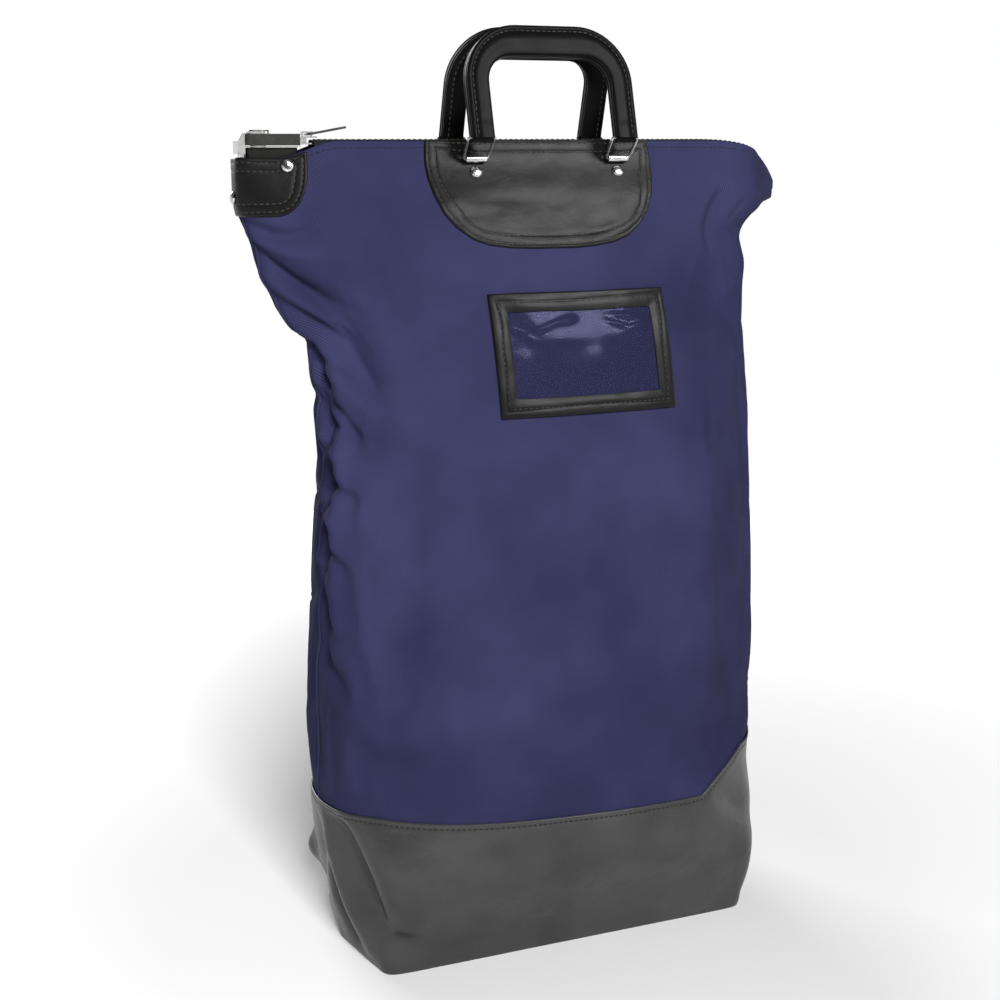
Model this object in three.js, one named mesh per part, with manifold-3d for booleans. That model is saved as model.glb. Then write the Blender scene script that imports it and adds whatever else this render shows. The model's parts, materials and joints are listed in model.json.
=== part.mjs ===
// Upright locking cash deposit bag: two nylon panels seamed at the sides, a boxed vinyl boot, a zip mouth
// that runs into a pop-up key lock, and a carrying handle on each side.
// Millimetres, +Z up, front towards -Y. The origin is the middle of the flat base.
import * as THREE from "three";
import { mergeVertices } from "three/addons/utils/BufferGeometryUtils.js";
import Module from "manifold-3d";

const wasm = await Module();
wasm.setup();

// ---------- driving dimensions ----------
const MOUTH_Z = 617; // height of the zip line
const BOOT_TOP_Z = 122;
const BOOT_LAP = 14; // nylon inside the boot
const CLOTH = 1.2; // laminated nylon
const VINYL = 1.3;
const GAP = 0.4; // air between two layers that lie on each other
const OVERLAY = GAP + VINYL; // outside of a vinyl layer, measured from the outside of the nylon
const BOOT_GAP = 0.8;
const BOOT_FLOOR = 1.5;

// Height of the boot's rim over the cloth fraction, on the front and on the back. It dips where the cloth
// bulges, and climbs round the far corners to the right seam.
const BOOT_RIM = {
  front: [[0, 119], [0.15, 124], [0.3, 121], [0.72, 112.5], [0.83, 140], [1, 145]],
  back: [[0, 119], [0.4, 118], [0.77, 120], [1, 145]],
};
const BOOT_RIM_FROM_Z = 40; // below this level the boot isn't stretched to its rim

// Horizontal sections of the stuffed bag from the base to the mouth. left and right are the side seams,
// bulge is the half depth and fullness is the superellipse power (2 is an ellipse, high is a box).
// lip is how far each side seam stands out of the curve, or is tucked into it when negative.
const SECTIONS = [
  { z: 0, left: -153, right: 152, bulge: 74.3, fullness: 26, lipLeft: 11, lipRight: 1 },
  { z: 30, left: -158, right: 159, bulge: 84, fullness: 14, lipLeft: 12, lipRight: 2 },
  { z: 75, left: -166, right: 168, bulge: 96, fullness: 5, lipLeft: 9, lipRight: 3 },
  { z: 122, left: -176, right: 175, bulge: 103, fullness: 2.6, lipLeft: 5, lipRight: 4 },
  { z: 200, left: -184, right: 181, bulge: 106, fullness: 2.3, lipLeft: 3, lipRight: 3 },
  { z: 300, left: -187, right: 181, bulge: 101, fullness: 2.3, lipLeft: -4, lipRight: 3 },
  { z: 390, left: -184, right: 178, bulge: 87, fullness: 2.3, lipLeft: -8, lipRight: 2 },
  { z: 470, left: -184, right: 176, bulge: 67, fullness: 2.3, lipLeft: -5, lipRight: 2 },
  { z: 500, left: -201, right: 174, bulge: 55, fullness: 2.3, lipLeft: 2, lipRight: 2 },
  { z: 540, left: -219, right: 173, bulge: 39, fullness: 2.6, lipLeft: 2, lipRight: 2 },
  { z: 575, left: -228, right: 200, bulge: 25, fullness: 3.6, lipLeft: 2, lipRight: 2 },
  { z: 600, left: -230, right: 224, bulge: 14, fullness: 7, lipLeft: 1, lipRight: 1 },
  { z: 617, left: -230.5, right: 227.5, bulge: 9.5, fullness: 18, lipLeft: 0, lipRight: 0 },
];

// The mouth sags at the lock, and more at the far ear, which also turns to the back.
const SAG_START_Z = 470;
const LOCK_SAG = 12;
const LOCK_SAG_X = [-158, -205];
const EAR_SAG = 34;
const EAR_X = [128, 228];
const EAR_TURN = THREE.MathUtils.degToRad(32);
const EAR_CREASE_X = 174;

// Grid of the panels as cloth fractions from seam to seam. The thirtieths put the fifth column over a corner
// of the base, and one column more by each seam gives the flat ends of the mouth their corners.
const THIRTIETHS = Array.from({ length: 31 }, (_, i) => i / 30);
const MOUTH_CORNER = 0.02;
const COLUMNS = [0, MOUTH_CORNER, ...THIRTIETHS.slice(1, -1), 1 - MOUTH_CORNER, 1];
const PANEL_LEVELS = [
  BOOT_TOP_Z - BOOT_LAP,
  BOOT_TOP_Z,
  ...[170, 225, 280, 335, 390, 435, 470, 500, 525, 550, 572, 588, 600, 608],
  MOUTH_Z - 1,
];
const BOOT_LEVELS = [0, 12, 40, 75, BOOT_TOP_Z - BOOT_LAP, BOOT_TOP_Z];
const SEAM_MARGIN = 0.4; // each panel stops this short of the seam plane

// Vinyl sheets on the panels
const PATCH = { middle: -4, top: 612 };
const PATCH_HALF_WIDTHS = [
  [538, 46],
  [543, 62],
  [550, 72],
  [563, 83],
  [575, 88],
  [588, 91],
  [600, 91],
  [PATCH.top, 90],
];
const WINDOW = { left: -62, right: 81, bottom: 419, top: 506, border: 13.3 };
const FILM_LAP = 8;
const FILM = 0.4;
const CORNER_PATCH_END = 0.12; // cloth fraction
const CORNER_PATCH_BOTTOM = 572;
const CORNER_PATCH_ROUND = 24;

// Zip
const TAPE = 0.8;
const TAPE_SEAM = { bottom: 608, top: 614 }; // where the tape is sewn inside the panels
const TAPE_STANDOFF = 0.6;
const TAPE_FLAT_Z = 615.2; // top of the flat strip beside the coil
const TAPE_FLAT_Y = [3.5, 6.6];
const COIL_Y = [0.8, 3.1];
const COIL_Z = [613.6, 616];
const ZIP_START = 4 / 30;
const EAR_START = 23 / 30; // cloth fraction up to which the zip is straight
const SLIDER_X = [-184.8, -172];
const SLIDER_HALF = 4.6;
const SLIDER_PLATE = 1.2;
const SLIDER_TOP_Z = 617.7;
const TONGUE = { length: 8, half: 2.2 };
const TAB_PIVOT = { x: -178.5, z: 618.9 };
const TAB_LENGTH = 29;
const TAB_HALF = 3.6;
const TAB = 1.4;
const TAB_RISE = THREE.MathUtils.degToRad(10);

// Lock
const LOCK_X = -214; // plunger axis
const LOCK_LEFT = -224;
const LOCK_RIGHT = -185.5;
const LOCK_HALF = 10;
const PLUNGER_RADIUS = 5.7;
const PLUNGER_HEAD = 8.4;
const PLUNGER_TOP_Z = 622;
const PLUG_RADIUS = 4;

// Handles, rings, chapes and rivets
const HANDLE_X = 0.5;
const RING_SPREAD = 57.5; // middle of the handle to the middle of each ring
const CHAPE_Z = 600;
const CHAPE_WIDTH = 16;
const CHAPE_LEAF = { width: 12, above: 10, below: 6.5 }; // from the rivet
const CHAPE_SHEET = 1;
const RING_WIRE = 2.6;
const RING_BASE = 22;
const RING_TOP = 23.4;
const RING_ROUND = 2.4;
const RING_LENGTH = 20; // between the middles of the two bars
const RING_LEAN = THREE.MathUtils.degToRad(40); // outwards from upright
const HANDLE_LEAN = THREE.MathUtils.degToRad(16); // inwards from upright
const HANDLE_HALF = 66;
const HANDLE_LEG = 17;
const HANDLE_BAR = 22.5;
const HANDLE_RISE = 82; // ring bar to the top
const HANDLE_ROUND = { outer: 42, inner: 20 };
const HANDLE_COVER = 2.2;
const HANDLE_CORE = 5;
const HANDLE_LAYER_GAP = 0.3;
const RIVET = { head: 4.75, rise: 2.1, shank: 2, peen: 3 };
const RIVET_Z = 591.5;
const HOLE_PLAY = 0.5;
const CORNER_RIVET = { x: -197, z: 608 };
const END_RIVET_Z = 586;
const END_WASHER_STANDOFF = 2.2; // the cloth curves away from the seam behind the end rivet

const FRONT = -1;
const BACK = 1;
const ROUND_SEGMENTS = 12;

// ---------- materials ----------
function material(color, roughness, metalness = 0) {
  return new THREE.MeshStandardMaterial({ color, roughness, metalness });
}

const NYLON = material(0x35366a, 0.8);
const BLACK_VINYL = material(0x1c1c1c, 0.45);
const BOOT_VINYL = material(0x3a3a3a, 0.5);
const ZIP_TAPE = material(0x17171a, 0.9);
const COIL = material(0x1a1a1c, 0.5);
const NICKEL = material(0xc9c9cc, 0.2, 1);
const LOCK_STEEL = material(0x55564f, 0.5, 0.8);
const CAST_ZINC = material(0x8d8d8b, 0.4, 0.9);
const BRASS = material(0xb9984f, 0.3, 1);
const CLEAR_FILM = material(0xaab0ff, 0.08);

// ---------- small helpers ----------
const { clamp, lerp, smoothstep } = THREE.MathUtils;

function solidOf(geometry) {
  const bare = geometry.index ? geometry.toNonIndexed() : geometry.clone();
  bare.deleteAttribute("normal");
  bare.deleteAttribute("uv");
  const merged = mergeVertices(bare, 1e-4);
  return new wasm.Manifold(
    new wasm.Mesh({
      numProp: 3,
      vertProperties: new Float32Array(merged.attributes.position.array),
      triVerts: new Uint32Array(merged.index.array),
    }),
  );
}

function geometryOf(solid) {
  const mesh = solid.getMesh();
  const geometry = new THREE.BufferGeometry();
  geometry.setAttribute("position", new THREE.BufferAttribute(new Float32Array(mesh.vertProperties), 3));
  geometry.setIndex(new THREE.BufferAttribute(new Uint32Array(mesh.triVerts), 1));
  geometry.computeVertexNormals();
  return geometry;
}

function cutBy(geometry, tools) {
  return geometryOf(tools.reduce((solid, tool) => solid.subtract(solidOf(tool)), solidOf(geometry)));
}

function joined(geometries) {
  const [first, ...rest] = geometries.map(solidOf);
  return geometryOf(rest.reduce((solid, other) => solid.add(other), first));
}

function boxBetween([x0, x1], [y0, y1], [z0, z1]) {
  const box = new THREE.BoxGeometry(x1 - x0, y1 - y0, z1 - z0);
  return box.translate((x0 + x1) / 2, (y0 + y1) / 2, (z0 + z1) / 2);
}

// An upright cylinder.
function post(radius, [z0, z1], x, segments = 24) {
  const cylinder = new THREE.CylinderGeometry(radius, radius, z1 - z0, segments);
  return cylinder.rotateX(Math.PI / 2).translate(x, 0, (z0 + z1) / 2);
}

// Triangles over numbered points, turned so that the solid faces outwards.
function closedGeometry(points, faces) {
  const build = (order) => {
    const geometry = new THREE.BufferGeometry();
    geometry.setAttribute("position", new THREE.Float32BufferAttribute(points.flatMap((p) => p.toArray()), 3));
    geometry.setIndex(faces.flatMap((face) => order.map((corner) => face[corner])));
    return geometry;
  };
  const outward = signedVolume(points, faces) > 0;
  return geometryOf(solidOf(build(outward ? [0, 1, 2] : [0, 2, 1])));
}

function signedVolume(points, faces) {
  return faces.reduce((sum, [a, b, c]) => sum + points[a].dot(points[b].clone().cross(points[c])) / 6, 0);
}

// Two triangles for each cell of a grid of numbered points, rows first.
function gridFaces(rows, columns, at) {
  const faces = [];
  for (let r = 0; r < rows - 1; r++) {
    for (let c = 0; c < columns - 1; c++) {
      faces.push([at(r, c), at(r, c + 1), at(r + 1, c + 1)]);
      faces.push([at(r, c), at(r + 1, c + 1), at(r + 1, c)]);
    }
  }
  return faces;
}

// A closed sheet between an outer and an inner grid of points.
function sheetBetween(outer, inner) {
  const rows = outer.length;
  const columns = outer[0].length;
  const under = rows * columns;
  const at = (r, c) => r * columns + c;
  const top = gridFaces(rows, columns, at);
  const bottom = top.map(([a, b, c]) => [a + under, c + under, b + under]);
  const rim = [];
  for (let c = 0; c < columns; c++) rim.push(at(0, c));
  for (let r = 1; r < rows; r++) rim.push(at(r, columns - 1));
  for (let c = columns - 2; c >= 0; c--) rim.push(at(rows - 1, c));
  for (let r = rows - 2; r > 0; r--) rim.push(at(r, 0));
  const wall = rim.flatMap((a, i) => {
    const b = rim[(i + 1) % rim.length];
    return [
      [b, a, a + under],
      [b, a + under, b + under],
    ];
  });
  return closedGeometry([...outer.flat(), ...inner.flat()], [...top, ...bottom, ...wall]);
}

// ---------- the skin: where the cloth lies ----------
function secant(i, key) {
  return (SECTIONS[i + 1][key] - SECTIONS[i][key]) / (SECTIONS[i + 1].z - SECTIONS[i].z);
}

function slopeAt(i, key) {
  if (i === 0) return secant(0, key);
  if (i === SECTIONS.length - 1) return secant(i - 1, key);
  const [below, above] = [secant(i - 1, key), secant(i, key)];
  return below * above <= 0 ? 0 : (2 * below * above) / (below + above);
}

// One value of SECTIONS at a height, by a monotone cubic through the rows.
function sectionValue(key, z) {
  const next = SECTIONS.findIndex((row) => row.z > z);
  const i = next < 0 ? SECTIONS.length - 2 : Math.max(next - 1, 0);
  const [low, high] = [SECTIONS[i], SECTIONS[i + 1]];
  const span = high.z - low.z;
  const t = clamp((z - low.z) / span, 0, 1);
  const blend = 2 * t ** 3 - 3 * t ** 2 + 1;
  const bend = (t ** 3 - 2 * t ** 2 + t) * slopeAt(i, key) + (t ** 3 - t ** 2) * slopeAt(i + 1, key);
  return blend * low[key] + (1 - blend) * high[key] + span * bend;
}

const SECTION_SAMPLES = 240;
const sectionCache = new Map();

// Half a section from the left seam to the right seam, in equal depths to both sides of y = 0.
function halfSection(z) {
  const key = z.toFixed(3);
  if (sectionCache.has(key)) return sectionCache.get(key);
  const [left, right, bulge, fullness] = ["left", "right", "bulge", "fullness"].map((name) => sectionValue(name, z));
  const middle = (left + right) / 2;
  const half = (right - left) / 2;
  const points = [];
  for (let i = 0; i <= SECTION_SAMPLES; i++) {
    const angle = (Math.PI * i) / SECTION_SAMPLES;
    const side = -Math.sign(Math.cos(angle));
    const depth = Math.sin(angle) ** (2 / fullness);
    const lip = sectionValue(side < 0 ? "lipLeft" : "lipRight", z) * (1 - depth ** 2) ** 2;
    const across = Math.abs(Math.cos(angle)) ** (2 / fullness) * half + lip;
    points.push(new THREE.Vector2(middle + side * across, bulge * depth));
  }
  const curve = new THREE.CurvePath();
  points.slice(1).forEach((point, i) => curve.add(new THREE.LineCurve(points[i], point)));
  sectionCache.set(key, curve);
  return curve;
}

// The sag and turn of the ear, for a point that would stand at (x, y, z) on a straight mouth.
function turnedEar(x, y, z) {
  const rise = smoothstep(z, SAG_START_Z, MOUTH_Z);
  const along = clamp((x - EAR_X[0]) / (EAR_X[1] - EAR_X[0]), 0, 1.1);
  const height = z - rise * EAR_SAG * along ** 3;
  const past = x - EAR_CREASE_X;
  if (past <= 0) return new THREE.Vector3(x, y, height);
  const turn = EAR_TURN * rise * smoothstep(past, -10, 25);
  return new THREE.Vector3(EAR_CREASE_X + past * Math.cos(turn), y + past * Math.sin(turn), height);
}

// The skin point of one side at cloth fraction u (0 left seam, 1 right seam) and level z, pushed out by offset.
function skin(side, u, z, offset = 0) {
  const curve = halfSection(z);
  const point = curve.getPointAt(u);
  const ahead = curve.getPointAt(Math.min(1, u + 0.004));
  const tangent = ahead.sub(curve.getPointAt(Math.max(0, u - 0.004))).normalize();
  let x = point.x - tangent.y * offset;
  let y = point.y + tangent.x * offset;
  if (u === 0 || u === 1) {
    x = point.x + (u === 0 ? -offset : offset);
    y = 0;
  }
  const lockSag = LOCK_SAG * smoothstep(-x, -LOCK_SAG_X[0], -LOCK_SAG_X[1]);
  const skinPoint = turnedEar(x, side * y, z);
  skinPoint.z -= lockSag * smoothstep(z, SAG_START_Z, MOUTH_Z);
  return skinPoint;
}

// The cloth fraction at distance x from the middle, on one level.
function fractionAt(x, z) {
  const curve = halfSection(z);
  let [low, high] = [0, 1];
  while (high - low > 1e-6) {
    const middle = (low + high) / 2;
    if (curve.getPointAt(middle).x < x) low = middle;
    else high = middle;
  }
  return (low + high) / 2;
}

function steps(from, to, count) {
  return Array.from({ length: count + 1 }, (_, i) => lerp(from, to, i / count));
}

// A level near the boot's rim, raised or lowered with the rim at one cloth fraction.
function besideRim(side, u, z) {
  const rim = side === FRONT ? BOOT_RIM.front : BOOT_RIM.back;
  const next = Math.max(1, rim.findIndex(([fraction]) => fraction >= u));
  const [[u0, z0], [u1, z1]] = [rim[next - 1], rim[next]];
  const height = lerp(z0, z1, (u - u0) / (u1 - u0));
  return z + (height - BOOT_TOP_Z) * smoothstep(z, BOOT_RIM_FROM_Z, BOOT_TOP_Z);
}

// A sheet on the skin over rows of [u, z], between two offsets.
function sheetOnSkin(side, rows, low, high) {
  const layer = (offset) => rows.map((row) => row.map(([u, z]) => skin(side, u, z, offset)));
  return sheetBetween(layer(high), layer(low));
}

// Rows of [u, z] for a sheet whose left and right edges are distances from the middle.
function rowsAcross(levels, edges, columns) {
  return levels.map((z) => {
    const [left, right] = edges(z);
    return steps(fractionAt(left, z), fractionAt(right, z), columns).map((u) => [u, z]);
  });
}

// The frame of a fitting on the skin: x across, y outwards, and its origin on the skin.
function skinFrame(side, x, z) {
  const u = fractionAt(x, z);
  const origin = skin(side, u, z);
  const up = skin(side, u, z + 4).sub(skin(side, u, z - 4)).setX(0).normalize();
  const across = new THREE.Vector3(1, 0, 0);
  const outward = up.clone().cross(across).multiplyScalar(-side).negate();
  const third = across.clone().cross(outward);
  return new THREE.Matrix4().makeBasis(across, outward, third).setPosition(origin);
}

function placed(geometry, frame) {
  return geometry.clone().applyMatrix4(frame);
}

const bag = new THREE.Group();

function addMesh(name, geometry, meshMaterial) {
  const mesh = new THREE.Mesh(geometry, meshMaterial);
  mesh.name = name;
  bag.add(mesh);
}

// ---------- fittings that pass through the cloth ----------
const SIDES = [
  { side: FRONT, label: "front" },
  { side: BACK, label: "back" },
];
const FITTINGS = SIDES.flatMap(({ side, label }) =>
  [
    ["left", HANDLE_X - RING_SPREAD],
    ["right", HANDLE_X + RING_SPREAD],
  ].map(([end, x]) => ({
    name: `${label}_${end}`,
    side,
    x,
    chapeFrame: skinFrame(side, x, CHAPE_Z),
    rivetFrame: skinFrame(side, x, RIVET_Z),
  })),
);
const CORNER_RIVETS = SIDES.map(({ side, label }) => ({
  name: label,
  frame: skinFrame(side, CORNER_RIVET.x, CORNER_RIVET.z),
  washerAt: -CLOTH - GAP,
}));
const END_RIVET_FRAME = new THREE.Matrix4()
  .makeRotationZ(Math.PI / 2)
  .setPosition(skin(FRONT, 0, END_RIVET_Z));
CORNER_RIVETS.push({ name: "end", frame: END_RIVET_FRAME, washerAt: -CLOTH - GAP - END_WASHER_STANDOFF });

// Distance of the ring's lower bar from the nylon, and the chape's roll round it.
const ROLL_BORE = RING_WIRE / 2 + 0.35;
const ROLL_RADIUS = ROLL_BORE + CHAPE_SHEET;
const ROLL_STANDOFF = OVERLAY + GAP + ROLL_RADIUS;
const LEAF_DEPTH = CLOTH + 0.6; // outer face of the chape's leaf, behind the outside of the nylon

function shankHole(frame) {
  return placed(new THREE.CylinderGeometry(RIVET.shank + HOLE_PLAY, RIVET.shank + HOLE_PLAY, 24, 12), frame);
}

function chapeSlit({ chapeFrame }) {
  return placed(boxBetween([-6.4, 6.4], [-6, 6], [-1.2, 1.2]), chapeFrame);
}

function fittingHoles(side) {
  const fittings = FITTINGS.filter((fitting) => fitting.side === side);
  return fittings.flatMap((fitting) => [chapeSlit(fitting), shankHole(fitting.rivetFrame)]);
}

function cornerHoles() {
  return CORNER_RIVETS.map(({ frame }) => shankHole(frame));
}

// ---------- cloth and vinyl ----------
function panel(side) {
  const layer = (offset) =>
    PANEL_LEVELS.map((z) =>
      COLUMNS.map((u) => {
        const point = skin(side, u, z > BOOT_TOP_Z ? z : besideRim(side, u, z), offset);
        if (u === 0 || u === 1) point.y += side * SEAM_MARGIN;
        return point;
      }),
    );
  const nearCorner = CORNER_RIVETS.filter(({ name }) => name === "end" || name === (side === FRONT ? "front" : "back"));
  const holes = [...fittingHoles(side), ...nearCorner.map(({ frame }) => shankHole(frame))];
  return cutBy(sheetBetween(layer(0), layer(-CLOTH)), holes);
}

// A closed lump bounded by the skin, pushed out by offset, from one level to another.
function skinLump(levels, offset, bottom) {
  const round = [
    ...COLUMNS.map((u) => [FRONT, u]),
    ...COLUMNS.slice(1, -1).reverse().map((u) => [BACK, u]),
  ];
  const points = levels.flatMap((z, row) =>
    round.map(([side, u]) => {
      const point = skin(side, u, besideRim(side, u, z), offset);
      return row === 0 ? point.setZ(bottom) : point;
    }),
  );
  const count = round.length;
  const at = (r, c) => r * count + (c % count);
  const faces = gridFaces(levels.length, count + 1, at);
  const lowest = points.push(new THREE.Vector3(0, 0, bottom)) - 1;
  const highest = points.push(new THREE.Vector3(0, 0, levels.at(-1))) - 1;
  for (let c = 0; c < count; c++) {
    faces.push([lowest, at(0, c + 1), at(0, c)]);
    faces.push([highest, at(levels.length - 1, c), at(levels.length - 1, c + 1)]);
  }
  return closedGeometry(points, faces);
}

function boot() {
  const inner = skinLump([...BOOT_LEVELS, BOOT_TOP_Z + 4], BOOT_GAP, BOOT_FLOOR);
  return cutBy(skinLump(BOOT_LEVELS, BOOT_GAP + VINYL, 0), [inner]);
}

function handlePatch(side) {
  const widths = new Map(PATCH_HALF_WIDTHS);
  const edges = (z) => [PATCH.middle - widths.get(z), PATCH.middle + widths.get(z)];
  const rows = rowsAcross([...widths.keys()], edges, 12);
  return cutBy(sheetOnSkin(side, rows, GAP, OVERLAY), fittingHoles(side));
}

// The vinyl wrapped round the lock end, with its lower corners rounded.
function cornerPatch() {
  const levels = PANEL_LEVELS.filter((z) => z >= CORNER_PATCH_BOTTOM);
  const reach = [...COLUMNS.filter((u) => u < CORNER_PATCH_END), CORNER_PATCH_END];
  const wrap = [...reach.slice(1).reverse().map((u) => [FRONT, u]), ...reach.map((u) => [BACK, u])];
  const layer = (offset) => levels.map((z) => wrap.map(([side, u]) => skin(side, u, z, offset)));
  const corner = skin(FRONT, CORNER_PATCH_END, CORNER_PATCH_BOTTOM, OVERLAY);
  const outline = new THREE.Shape();
  outline.moveTo(corner.x + 8, corner.z - 8);
  outline.lineTo(corner.x + 8, corner.z + CORNER_PATCH_ROUND);
  outline.lineTo(corner.x, corner.z + CORNER_PATCH_ROUND);
  const center = [corner.x - CORNER_PATCH_ROUND, corner.z + CORNER_PATCH_ROUND];
  outline.absarc(...center, CORNER_PATCH_ROUND, 0, -Math.PI / 2, true);
  outline.lineTo(corner.x - CORNER_PATCH_ROUND, corner.z - 8);
  const cutter = new THREE.ExtrudeGeometry(outline, { depth: 120, bevelEnabled: false, curveSegments: 8 });
  cutter.rotateX(Math.PI / 2).translate(0, 60, 0);
  return cutBy(sheetBetween(layer(OVERLAY), layer(GAP)), [cutter, ...cornerHoles()]);
}

function windowSheet(inset, low, high) {
  const { left, right, bottom, top } = WINDOW;
  const edges = () => [left + inset, right - inset];
  return sheetOnSkin(FRONT, rowsAcross(steps(bottom + inset, top - inset, 6), edges, 10), low, high);
}

function windowFrame() {
  const low = GAP + FILM + GAP;
  return cutBy(windowSheet(0, low, low + VINYL), [windowSheet(WINDOW.border, low - 1, low + VINYL + 1)]);
}

// ---------- zip ----------
function mouthPoint(u, y, z) {
  return turnedEar(halfSection(MOUTH_Z - 1).getPointAt(u).x, y, z);
}

// The tape is sewn inside the panel's edge and turns over into a flat strip beside the coil.
function zipTape(side) {
  const us = THIRTIETHS.filter((u) => u >= ZIP_START && u < 1);
  const sewn = (z, offset) => us.map((u) => skin(side, u, z, offset));
  const flat = (y, z) => us.map((u) => mouthPoint(u, side * y, z));
  const hidden = -CLOTH - TAPE_STANDOFF;
  const outer = [
    sewn(TAPE_SEAM.bottom, hidden),
    sewn(TAPE_SEAM.top, hidden),
    flat(TAPE_FLAT_Y[1], TAPE_FLAT_Z),
    flat(TAPE_FLAT_Y[0], TAPE_FLAT_Z),
  ];
  const inner = [
    sewn(TAPE_SEAM.bottom, hidden - TAPE),
    sewn(TAPE_SEAM.top, hidden - TAPE),
    flat(TAPE_FLAT_Y[1] - TAPE / 2, TAPE_FLAT_Z - TAPE),
    flat(TAPE_FLAT_Y[0], TAPE_FLAT_Z - TAPE),
  ];
  return sheetBetween(outer, inner);
}

function zipCoil(side) {
  const us = THIRTIETHS.filter((u) => u === ZIP_START || (u >= EAR_START && u < 1));
  const row = (y, z) => us.map((u) => mouthPoint(u, side * y, z));
  const layer = (z) => [row(COIL_Y[0], z), row(COIL_Y[1], z)];
  return sheetBetween(layer(COIL_Z[1]), layer(COIL_Z[0]));
}

// Two plates joined by a thin post between the coils, a tongue for the lock and a bridge for the pull tab.
function zipSlider() {
  const plate = [SLIDER_TOP_Z - SLIDER_PLATE, SLIDER_TOP_Z];
  const underZ = [COIL_Z[0] - 0.4 - SLIDER_PLATE, COIL_Z[0] - 0.4];
  const width = [-SLIDER_HALF, SLIDER_HALF];
  const [left, right] = SLIDER_X;
  const bridge = [TAB_PIVOT.x - 4.2, TAB_PIVOT.x + 4.2];
  const body = joined([
    boxBetween(SLIDER_X, width, plate),
    boxBetween(SLIDER_X, width, underZ),
    boxBetween([left, left + 6], [-0.45, 0.45], [underZ[0], plate[1]]),
    boxBetween([left - TONGUE.length, right], [-TONGUE.half, TONGUE.half], plate),
    boxBetween(bridge, [-1, 1], [SLIDER_TOP_Z - 0.4, TAB_PIVOT.z + 2.2]),
  ]);
  return cutBy(body, [boxBetween([TAB_PIVOT.x - 2.6, TAB_PIVOT.x + 2.6], [-2, 2], [SLIDER_TOP_Z, TAB_PIVOT.z + 1.1])]);
}

function pullTab() {
  const outline = new THREE.Shape();
  outline.moveTo(-0.7, -TAB_HALF);
  outline.lineTo(TAB_LENGTH - 3, -TAB_HALF);
  outline.absarc(TAB_LENGTH - 3, 0, TAB_HALF, -Math.PI / 2, Math.PI / 2, false);
  outline.lineTo(-0.7, TAB_HALF);
  const eye = new THREE.Path();
  eye.moveTo(0.7, -1.5);
  eye.lineTo(0.7, 1.5);
  eye.lineTo(7, 1.5);
  eye.lineTo(7, -1.5);
  outline.holes.push(eye);
  const tab = new THREE.ExtrudeGeometry(outline, { depth: TAB, bevelEnabled: false, curveSegments: 8 });
  return tab.translate(0, 0, -TAB / 2).rotateY(-TAB_RISE).translate(TAB_PIVOT.x, 0, TAB_PIVOT.z);
}

// ---------- lock ----------
function lockBlock([x0, x1], half, [z0, z1], round) {
  const outline = new THREE.Shape();
  outline.moveTo(x0 + round, -half);
  outline.lineTo(x1 - round, -half);
  outline.absarc(x1 - round, -half + round, round, -Math.PI / 2, 0, false);
  outline.absarc(x1 - round, half - round, round, 0, Math.PI / 2, false);
  outline.absarc(x0 + round, half - round, round, Math.PI / 2, Math.PI, false);
  outline.absarc(x0 + round, -half + round, round, Math.PI, 1.5 * Math.PI, false);
  const block = new THREE.ExtrudeGeometry(outline, { depth: z1 - z0, bevelEnabled: false, curveSegments: 3 });
  return block.translate(0, 0, z0);
}

const LOCK_TRIM_Z = [610.4, 611];
const LOCK_BASE_Z = [584, 610];
const LOCK_HOUSING_Z = [611.4, 619.4];

function lockBase() {
  const block = lockBlock([LOCK_LEFT, LOCK_RIGHT - 1.5], 7, LOCK_BASE_Z, 2);
  return cutBy(block, [post(PLUNGER_RADIUS + 0.4, [LOCK_BASE_Z[0] + 3, 620], LOCK_X)]);
}

function lockTrim() {
  const strip = lockBlock([LOCK_LEFT, LOCK_RIGHT], LOCK_HALF, LOCK_TRIM_Z, 2);
  return cutBy(strip, [post(PLUNGER_RADIUS + 0.4, [600, 620], LOCK_X)]);
}

function lockHousing() {
  const block = lockBlock([LOCK_LEFT, LOCK_RIGHT], LOCK_HALF, LOCK_HOUSING_Z, 2);
  const tongueZ = [SLIDER_TOP_Z - SLIDER_PLATE - 0.5, SLIDER_TOP_Z + 0.5];
  const mouth = boxBetween([LOCK_RIGHT - 9, LOCK_RIGHT + 1], [-TONGUE.half - 0.6, TONGUE.half + 0.6], tongueZ);
  return cutBy(block, [post(PLUNGER_HEAD + 0.5, [600, 630], LOCK_X), mouth]);
}

// The bright faceted piece that closes the end of the lock and hooks down inside the mouth.
function lockEndBracket() {
  const outline = new THREE.Shape();
  outline.moveTo(LOCK_LEFT - 0.5, 605.4);
  outline.lineTo(LOCK_LEFT - 0.5, 619.8);
  outline.lineTo(LOCK_LEFT - 3, 619.8);
  outline.lineTo(LOCK_LEFT - 6, 615);
  outline.lineTo(LOCK_LEFT - 6, 605.4);
  outline.lineTo(LOCK_LEFT - 3, 605.4);
  outline.lineTo(LOCK_LEFT - 3, 590);
  outline.lineTo(LOCK_LEFT - 1.6, 590);
  outline.lineTo(LOCK_LEFT - 1.6, 605.4);
  const plate = new THREE.ExtrudeGeometry(outline, { depth: 13, bevelEnabled: false });
  return plate.rotateX(Math.PI / 2).translate(0, 6.5, 0);
}

const PLUG_POCKET_Z = 604;

function lathe(profile, segments) {
  return new THREE.LatheGeometry(profile.map(([r, z]) => new THREE.Vector2(r, z)), segments);
}

function upright(geometry, x) {
  return geometry.rotateX(Math.PI / 2).translate(x, 0, 0);
}

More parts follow.
